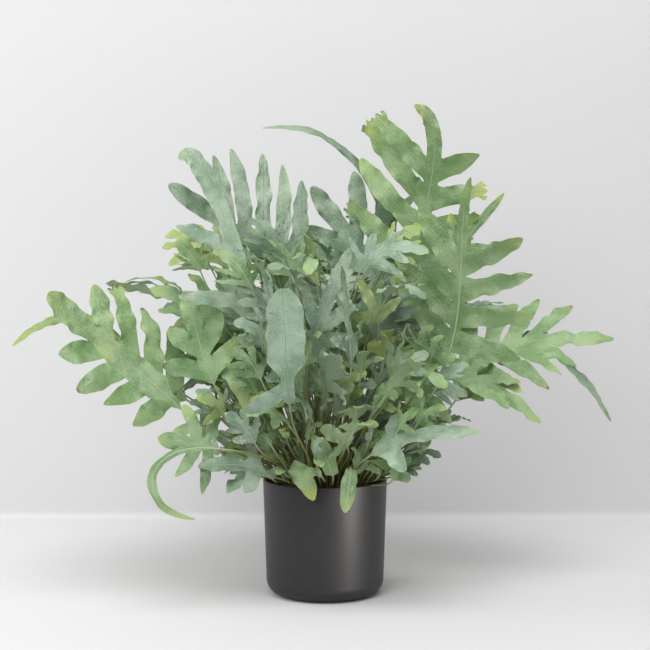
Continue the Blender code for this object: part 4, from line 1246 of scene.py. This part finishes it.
# %% One whole blade
LOOKS = {
    "blue": {"lime": 0.12, "crests": 0.03, "ripple": 0.0021, "scorch": 0.06, "pale": 0.45},
    "green": {"lime": 0.45, "crests": 0.06, "ripple": 0.0019, "scorch": 0.14, "pale": 0.65},
    "lime": {"lime": 0.75, "crests": 0.10, "ripple": 0.0021, "scorch": 0.12, "pale": 0.70},
}
SHOWN_LOOKS = {
    "frond_top_fan": {"lime": 0.90, "crests": 0.45},
    "frond_right_fan": {"lime": 0.50, "crests": 0.12, "pale": 1.0},
    "frond_left_fan": {"lime": 0.60, "pale": 0.8},
    "frond_front_shield": {"lime": 0.05, "ripple": 0.0014, "pale": 0.05},
    "frond_rim_front": {"lime": 1.00},
    "frond_right_curl": {"lime": 0.90},
}


def lay_blade(skin, frond):
    look = dict(LOOKS[frond.tint], draw=random.Random(frond.seed + 7))
    look.update(SHOWN_LOOKS.get(frond.name, {}))
    look["tone"] = look["draw"].uniform(-0.6, 0.6)
    marks = strip_marks(frond)
    numbers = lay_strip(skin, frond, marks, look)
    skin.cover(numbers, True)
    for index, side in frond.habits:
        first = int(np.argmin(np.abs(marks - frond.roots[index][0])))
        roots = numbers[first:first + len(ACROSS), -1 if side == 1 else 0]
        lay_lobe(skin, frond, index, side, roots, look)


# %% [markdown]
# A leaf has two sides, and they differ: the upper one carries the bloom, the lower one is paler and its
# veins stand out. The skin is copied to both sides of its middle, about half a millimetre apart, and a narrow
# rim closes the edge, so that the blade is closed and has a real thickness. It isn't free of crossings:
# about two in a hundred of its faces still pass through others of the same piece.

# %% From skin to shell
LEAF_THICK = 0.00045


def shell(skin):
    """The two sides and the rim around a skin. A last note is 0 on the upper side and 1 on the lower."""
    points, faces, notes = np.vstack(skin.points), np.vstack(skin.faces), np.vstack(skin.notes)
    across = points[faces[:, 2]] - points[faces[:, 0]]
    along = points[faces[:, 3]] - points[faces[:, 1]]
    flat = np.cross(across, along)
    normals = np.zeros_like(points)
    for k in range(4):
        np.add.at(normals, faces[:, k], flat)
    normals = unit(normals + 1e-15) * LEAF_THICK / 2
    ends = np.vstack([faces[:, [k, (k + 1) % 4]] for k in range(4)])
    code = ends.min(1) * len(points) + ends.max(1)
    _, first, count = np.unique(code, return_index=True, return_counts=True)
    rim = ends[first[count == 1]]
    n = len(points)
    walls = np.column_stack((rim[:, 1], rim[:, 0], rim[:, 0] + n, rim[:, 1] + n))
    both = np.vstack((points + normals, points - normals))
    under = np.repeat((0.0, 1.0), n)[:, None]
    return both, np.vstack((faces, faces[:, ::-1] + n, walls)), np.hstack((np.vstack((notes, notes)), under))


def noted(piece, names, notes):
    """Keeps each column of notes on the mesh's points."""
    for name, column in zip(names, notes.T):
        made = piece.data.attributes.new(name, "FLOAT", "POINT")
        made.data.foreach_set("value", np.ascontiguousarray(column, dtype=np.float32))


# %% [markdown]
# ## The stalks
# A thin round stalk carries each blade and runs on along it as a pale, raised rib. It is brown and wiry at
# the soil and turns green higher up. A tube of eight sides follows the curve of the stalk and then of the
# blade, and gets thinner on its way.

# %% A stalk's tube
STALK_ROWS = 26
RIB_ROWS = 26
TUBE_SIDES = 8
STALK_RADII = (0.00115, 0.00100, 0.00030)
BROAD_RIB = 0.19
RIB_REACH = 0.80
ASKEW = (0.31, 0.87, 0.38)


def stalk_line(frond, feet):
    """The places along a stalk and rib, each one's radius, its rise from -1 to 1, and its paleness."""
    low, mouth = feet
    places, _ = stalk(frond, STALK_ROWS)
    shares = np.arange(1, STALK_ROWS) / STALK_ROWS
    places = places + (mouth - frond.foot) * ((1 - shares) ** 2)[:, None]
    u = np.linspace(0, RIB_REACH if frond.pairs else 0.9, RIB_ROWS)
    ribs = rib(frond, u)[0]
    line = np.vstack((low, mouth, places, ribs))
    radius = np.concatenate((np.linspace(STALK_RADII[0], STALK_RADII[1], STALK_ROWS + 1),
                             np.linspace(STALK_RADII[1], STALK_RADII[2], RIB_ROWS)))
    radius[STALK_ROWS:] *= max(1.0, min(1.5, frond.chord / BROAD_RIB))
    rise = np.concatenate((np.linspace(-1, 0, STALK_ROWS + 1), u))
    pale = dict(LOOKS[frond.tint], **SHOWN_LOOKS.get(frond.name, {}))["pale"]
    return line, radius, np.column_stack((rise, np.full(len(rise), pale)))


def tube(line, radius, notes):
    """A closed tube along a line of places: points, faces and the notes of each point."""
    way = unit(np.gradient(line, axis=0))
    side = unit(np.cross(way, ASKEW))
    other = np.cross(way, side)
    turn = 2 * math.pi * np.arange(TUBE_SIDES) / TUBE_SIDES
    ring = np.cos(turn)[None, :, None] * side[:, None] + np.sin(turn)[None, :, None] * other[:, None]
    points = (line[:, None] + radius[:, None, None] * ring).reshape(-1, 3)
    k = np.arange(len(line) - 1)[:, None] * TUBE_SIDES
    j = np.arange(TUBE_SIDES)[None, :]
    n = (j + 1) % TUBE_SIDES
    faces = np.stack((k + j, k + n, k + n + TUBE_SIDES, k + j + TUBE_SIDES), -1).reshape(-1, 4).tolist()
    last = len(points) - TUBE_SIDES
    faces += [list(range(TUBE_SIDES))[::-1], list(range(last, last + TUBE_SIDES))]
    return points, faces, np.repeat(notes, TUBE_SIDES, axis=0)


# %% [markdown]
# ## The leaf's finish
# The upper side is glaucous: a blue-grey bloom over green, patchy where it has rubbed. A net of fine veins
# shows through, the midribs are pale, and many lobes turn lime towards their tips. Light passes through a
# thin leaf, so part of the shader is Translucent, which makes leaves against the light glow yellow-green.

# %% The leaf's finish
VEIN = rgb(0.44, 0.56, 0.38)
LIME = rgb(0.50, 0.58, 0.14)
SCORCH = rgb(0.16, 0.09, 0.045)
SPECK = rgb(0.10, 0.12, 0.06)
TINTED = {
    "blue": {"fresh": rgb(0.150, 0.268, 0.170), "bloom": rgb(0.475, 0.605, 0.495),
             "under": rgb(0.31, 0.42, 0.31), "through": rgb(0.20, 0.40, 0.13)},
    "green": {"fresh": rgb(0.155, 0.310, 0.110), "bloom": rgb(0.480, 0.660, 0.380),
              "under": rgb(0.33, 0.46, 0.27), "through": rgb(0.27, 0.50, 0.07)},
    "lime": {"fresh": rgb(0.240, 0.390, 0.090), "bloom": rgb(0.560, 0.690, 0.360),
             "under": rgb(0.44, 0.54, 0.20), "through": rgb(0.34, 0.54, 0.07)},
}
LET_THROUGH = 0.20
SHADE = rgb(0.64, 0.71, 0.66)
SHINE = rgb(1.24, 1.18, 1.12)
PATCHES = 30
LEAF_GRAIN = 900
NET_CELLS = 330.0
SPOTS = 210
LEAF_BUMP = 0.0004


def leaf_finish(tint, fresh, bloom, under, through):
    """The finish of both sides of a leaf. Each mask is a number from 0 to 1, and colours are laid by them."""
    finish = Finish(f"leaf_{tint}", Specular_IOR_Level=0.5)
    patches = finish.between(finish.noise(PATCHES, detail=5, roughness=0.62), 0.36, 0.62)
    grain = finish.noise(LEAF_GRAIN, detail=2)
    net = finish.add("ShaderNodeTexVoronoi", {"feature": "DISTANCE_TO_EDGE"},
                     {"Vector": finish.place(), "Scale": NET_CELLS})
    cells = 1 - finish.between(net, 0.02, 0.22)
    upper = finish.mix(0.25 + patches * 0.60 + grain * 0.15, fresh, bloom)
    netted = finish.mix(cells * (0.55 - 0.35 * patches), upper, fresh)
    side = finish.mix(finish.between(finish.note("under"), 0.4, 0.6), netted, under)
    toned = finish.mix(0.5 + finish.note("tone") * 0.5, finish.mix(1.0, side, SHADE, "MULTIPLY"),
                       finish.mix(1.0, side, SHINE, "MULTIPLY"))
    limed = finish.mix(finish.note("lime") * (0.40 + 0.60 * patches), toned, LIME)
    edge = finish.note("edge")
    hemmed = finish.mix((1 - finish.between(edge, 0.15, 0.8)) * patches * 0.40, limed, LIME)
    midrib = 1 - finish.between(finish.note("vein"), 0.15, 0.75)
    ribbed = finish.mix(midrib * 0.28, hemmed, VEIN)
    spots = finish.between(finish.noise(SPOTS, detail=1), 0.73, 0.78)
    specked = finish.mix(spots * 0.55, ribbed, SPECK)
    colour = finish.mix(finish.note("scorch"), specked, SCORCH)
    finish.drive("Base Color", colour)
    finish.drive("Roughness", 0.36 + patches * 0.14)
    finish.bump(midrib * 1.5 - cells + patches * 0.5, LEAF_BUMP, 0.6)
    finish.veil(LET_THROUGH, finish.add("ShaderNodeBsdfTranslucent", inputs={"Color": through}))
    return finish.material


leaf_finishes = {tint: leaf_finish(tint, **colours) for tint, colours in TINTED.items()}
print("leaf finishes:", list(leaf_finishes))

# %% The stalk's finish
WIRY_BROWN = rgb(0.13, 0.085, 0.040)
OLIVE = rgb(0.20, 0.22, 0.075)
DEEP_RIB = rgb(0.165, 0.250, 0.135)
PALE_RIB = rgb(0.54, 0.63, 0.44)
STREAK = rgb(0.30, 0.30, 0.12)
STREAKS = 300

stalk_finish = Finish("stalk", Specular_IOR_Level=0.4)
rise = stalk_finish.note("rise")
foot = stalk_finish.mix(stalk_finish.between(rise, -1.0, -0.45), WIRY_BROWN, OLIVE)
green = stalk_finish.mix(stalk_finish.note("pale"), DEEP_RIB, PALE_RIB)
upper = stalk_finish.mix(stalk_finish.between(rise, -0.25, 0.10), foot, green)
streak = stalk_finish.noise(STREAKS, detail=2)
stalk_finish.drive("Base Color", stalk_finish.mix(streak * 0.35, upper, STREAK))
stalk_finish.drive("Roughness", 0.38 + streak * 0.15)
print("the stalk's nodes:", len(stalk_finish.tree.nodes))

# %% [markdown]
# ## Putting the fronds together
# Each packed frond is replaced by a blade and a stalk of the same name. Two fronds that share a foot are one
# blade piece and one stalk piece, because they are one solid in the packed model.

# %% The fronds
LEAF_CREASE = 60


def dressed(name, groups, tint):
    """A blade piece and a stalk piece for one or more groups of fronds that share a tint."""
    skin, tubes = Skin(), []
    for group in groups:
        lows, mouths = foot_rows(group)
        for k, frond in enumerate(group):
            lay_blade(skin, frond)
            feet = [(rows[k] + rows[k + 1]) / 2 for rows in (lows, mouths)]
            tubes.append(tube(*stalk_line(frond, feet)))
    points, faces, notes = shell(skin)
    blade = mesh_piece(f"{name}_blade", points, faces)
    noted(blade, NOTES + ("under",), notes)
    blade.data.materials.append(leaf_finishes[tint])
    starts = np.cumsum([0] + [len(t[0]) for t in tubes])
    stem_faces = [[p + start for p in face] for t, start in zip(tubes, starts) for face in t[1]]
    stem = mesh_piece(f"{name}_stalk", np.vstack([t[0] for t in tubes]), stem_faces)
    noted(stem, ("rise", "pale"), np.vstack([t[2] for t in tubes]))
    stem.data.materials.append(stalk_finish.material)
    for piece in (blade, stem):
        piece.data.shade_smooth()
        piece.data.set_sharp_from_angle(angle=math.radians(LEAF_CREASE))
        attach(piece, "root")
    return blade, stem


counts = []
for group, _ in stands:
    if group[0].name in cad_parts:
        blade, stem = dressed(group[0].name, [group], group[0].tint)
        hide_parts(group[0].name)
        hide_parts(group[0].name)
        counts.append(len(blade.data.polygons) + len(stem.data.polygons))
print("fronds:", len(counts), "faces:", sum(counts), "most in one:", max(counts))

# %% [markdown]
# ## Young leaves
# Low between the stalks stands a thicket of young leaves, and behind the large fronds there are more small
# ones. They are too many for the packed model. Each is a small frond from a seeded draw, and it is kept only
# where the coarse shell of its blade stands clear of everything before it. Its thin stalk and its fine
# ripples aren't tested, so many stalks pass through a neighbour, and a few blades do.

# %% Young leaves
# Bands of young leaves: how many, the bearings they fill, how far out the foot and then the blade stand, the
# blade's height over the soil, its run, the length and width of a lobe, and how many pairs of lobes it may
# have.
BANDS = {
    "back": (44, (10, 170), (0.004, 0.034), (0.000, 0.075), (0.060, 0.230), (0.045, 0.078), (0.028, 0.046),
             (0.015, 0.021), (2, 2, 3)),
    "low": (96, (150, 390), (0.012, 0.060), (0.010, 0.060), (0.018, 0.075), (0.022, 0.044), (0.013, 0.022),
            (0.011, 0.015), (0, 1, 1, 2)),
    "mid": (72, (165, 375), (0.010, 0.045), (0.030, 0.115), (0.070, 0.175), (0.034, 0.060), (0.022, 0.034),
            (0.013, 0.018), (1, 2, 2)),
    "inner": (44, (0, 360), (0.008, 0.040), (0.020, 0.130), (0.140, 0.280), (0.045, 0.080), (0.030, 0.048),
              (0.016, 0.022), (2, 2, 3)),
}
YOUNG_TINTS = ("green", "blue", "green", "blue", "lime")
ATTEMPTS = 30


def young_leaf(name, draw, band):
    """A small frond by a draw within its band."""
    _, bearings, foot_out, out_by, high, run, long, wide, pairs = band
    bearing = math.radians(draw.uniform(*bearings))
    out = np.array((math.cos(bearing), math.sin(bearing), 0.0))
    turned = bearing + draw.uniform(-0.9, 0.9)
    away = np.array((math.cos(turned), math.sin(turned), 0.0))
    foot = out * draw.uniform(*foot_out)
    base = foot + out * draw.uniform(*out_by) + UP * (SOIL_TOP + draw.uniform(*high))
    length = draw.uniform(*run)
    tip = base + length * unit(away + UP * draw.uniform(-0.2, 1.2))
    face = unit(UP * 0.7 - out * draw.uniform(-0.4, 0.3) - np.array((0.0, draw.uniform(0.1, 1.1), 0.0)))
    leaf = Frond(name, draw.choice(YOUNG_TINTS), base, tip, face, draw.choice(pairs), draw.uniform(*long),
                 draw.uniform(*wide), rise=0.2 * length, sag=draw.uniform(0.0, 0.6), share=0.96, lively=0.9,
                 wave=0.0016, seed=draw.randrange(10**6))
    leaf.foot = np.append(foot[:2], SOIL_TOP + FOOT_RISE)
    return leaf


def within_reach(points):
    """Whether every point stands inside the packed model's box."""
    return bool((points > np.array(cad_low)).all() and (points < np.array(cad_high)).all())


def blade_skins(points, faces, stem):
    """The closed shell round the blade alone, without its thin stalk."""
    blade = faces[(stem[faces] < 0.99).all(1)]
    kept, numbers = np.unique(blade, return_inverse=True)
    return swollen(points[kept], numbers.reshape(-1, 3), np.full(len(kept), BLADE / 2), CLEARANCE / 2)


clump = Clump()
pot_points, pot_faces = (np.array(part) for part in pot_shape())
clump.add(pot_points, pot_faces)
for _, sheet in stands:
    clump.add(*skins_of(*sheet))
young = {label: [] for label in BANDS}
for label, band in BANDS.items():
    for k in range(band[0]):
        draw = random.Random(f"{label} {k}")
        for _ in range(ATTEMPTS):
            leaf = young_leaf(f"young_{label}_{k}", draw, band)
            sheet = sheet_of([leaf])
            skins = blade_skins(*sheet)
            fits = above_soil(sheet[0], sheet[2]) and within_reach(skins[0])
            if fits and clump.clear(*skins) and not crosses_itself(*sheet):
                clump.add(*skins)
                young[label].append(leaf)
                break
for label in BANDS:
    for tint in LOOKS:
        leaves = [[leaf] for leaf in young[label] if leaf.tint == tint]
        blade, stem = dressed(f"young_{label}_{tint}", leaves, tint)
        print(blade.name, "leaves:", len(leaves), "faces:", len(blade.data.polygons))

# %% [markdown]
# ## The soil
# The pot is filled with dark potting mix: crumbs, fibres and a few reddish chips of bark. The plug of soil
# keeps its place, and loose crumbs cover its top, as a heap of many small, uneven lumps.

# %% Crumbs and bark
CRUMBS = 1500
CHIPS = 60
SOIL_REACH = 0.0675
SOIL_DIP = 0.0035
GOLDEN = (1 + math.sqrt(5)) / 2
BALL = np.array([(a, b * GOLDEN, 0) for a in (-1, 1) for b in (-1, 1)]
                + [(0, a, b * GOLDEN) for a in (-1, 1) for b in (-1, 1)]
                + [(b * GOLDEN, 0, a) for a in (-1, 1) for b in (-1, 1)], float)
BALL_NEIGHBOUR = 2.1
UNEVEN = (0.7, 1.3)
ANY_TURN = 6.28


def lump(draw, place, size):
    """A small uneven lump: a twenty-faced ball with every corner moved."""
    corners = BALL * np.array([draw.uniform(*UNEVEN) for _ in BALL])[:, None]
    matrix = turned_about(draw.uniform(0, ANY_TURN), (draw.uniform(-1, 1), draw.uniform(-1, 1), 0.3))
    return (corners * size) @ matrix.T + place


def lump_faces():
    """The twenty triangles between the corners of a lump that lie nearest each other."""
    near = np.linalg.norm(BALL[:, None] - BALL[None], axis=2) < BALL_NEIGHBOUR
    found = []
    for i, j, k in combinations(range(len(BALL)), 3):
        if near[i, j] and near[j, k] and near[i, k]:
            way = np.cross(BALL[j] - BALL[i], BALL[k] - BALL[i]) @ BALL[i]
            found.append((i, j, k) if way > 0 else (i, k, j))
    return np.array(found)


def heap(name, count, sizes, flat, high, seed):
    """Many lumps strewn over the soil, as one piece."""
    draw = random.Random(seed)
    ball = lump_faces()
    points, faces = [], []
    for k in range(count):
        out = SOIL_REACH * math.sqrt(draw.random())
        bearing = draw.uniform(0, 2 * math.pi)
        dip = SOIL_DIP * (out / SOIL_REACH) ** 2
        place = (out * math.cos(bearing), out * math.sin(bearing), SOIL_TOP + high - dip * draw.random())
        size = np.array((draw.uniform(*sizes), draw.uniform(*sizes), draw.uniform(*sizes) * flat))
        points.append(lump(draw, np.array(place), size))
        faces.append(ball + len(BALL) * k)
    return mesh_piece(name, np.vstack(points), np.vstack(faces))


crumbs = heap("potting_mix", CRUMBS, (0.0007, 0.0019), 0.8, 0.0008, 5)
chips = heap("bark_chips", CHIPS, (0.0016, 0.0042), 0.35, 0.0025, 6)

# %% The soil's finish
MIX_DARK = rgb(0.018, 0.012, 0.009)
MIX_BROWN = rgb(0.075, 0.045, 0.028)
BARK_DARK = rgb(0.11, 0.045, 0.025)
BARK_PALE = rgb(0.36, 0.23, 0.13)
MOTTLES = 420
FIBRES = 300
MIX_BUMP = 0.001
BARK_BUMP = 0.0006

soil_finish = Finish("potting_mix", Roughness=0.95, Specular_IOR_Level=0.2)
mottle = soil_finish.noise(MOTTLES, detail=4, roughness=0.7)
brown = soil_finish.mix(soil_finish.between(mottle, 0.35, 0.7), MIX_DARK, MIX_BROWN)
soil_finish.drive("Base Color", brown)
soil_finish.bump(mottle, MIX_BUMP, 0.6)
bark_finish = Finish("bark", Roughness=0.85, Specular_IOR_Level=0.25)
fibre = bark_finish.noise(FIBRES, detail=3)
bark = bark_finish.mix(bark_finish.between(fibre, 0.35, 0.65), BARK_DARK, BARK_PALE)
bark_finish.drive("Base Color", bark)
bark_finish.bump(fibre, BARK_BUMP, 0.6)
for piece, finish in ((crumbs, soil_finish), (chips, bark_finish)):
    piece.data.materials.append(finish.material)
    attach(piece, "root")
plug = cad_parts["soil"]
plug.data.materials.clear()
plug.data.materials.append(soil_finish.material)
print("crumbs:", CRUMBS, "chips:", CHIPS)

# %% [markdown]
# ## Sizes
# The dressed plant keeps the packed model's size. Only the packed model's box is printed, near the top; the
# dressed plant's box isn't worked out.
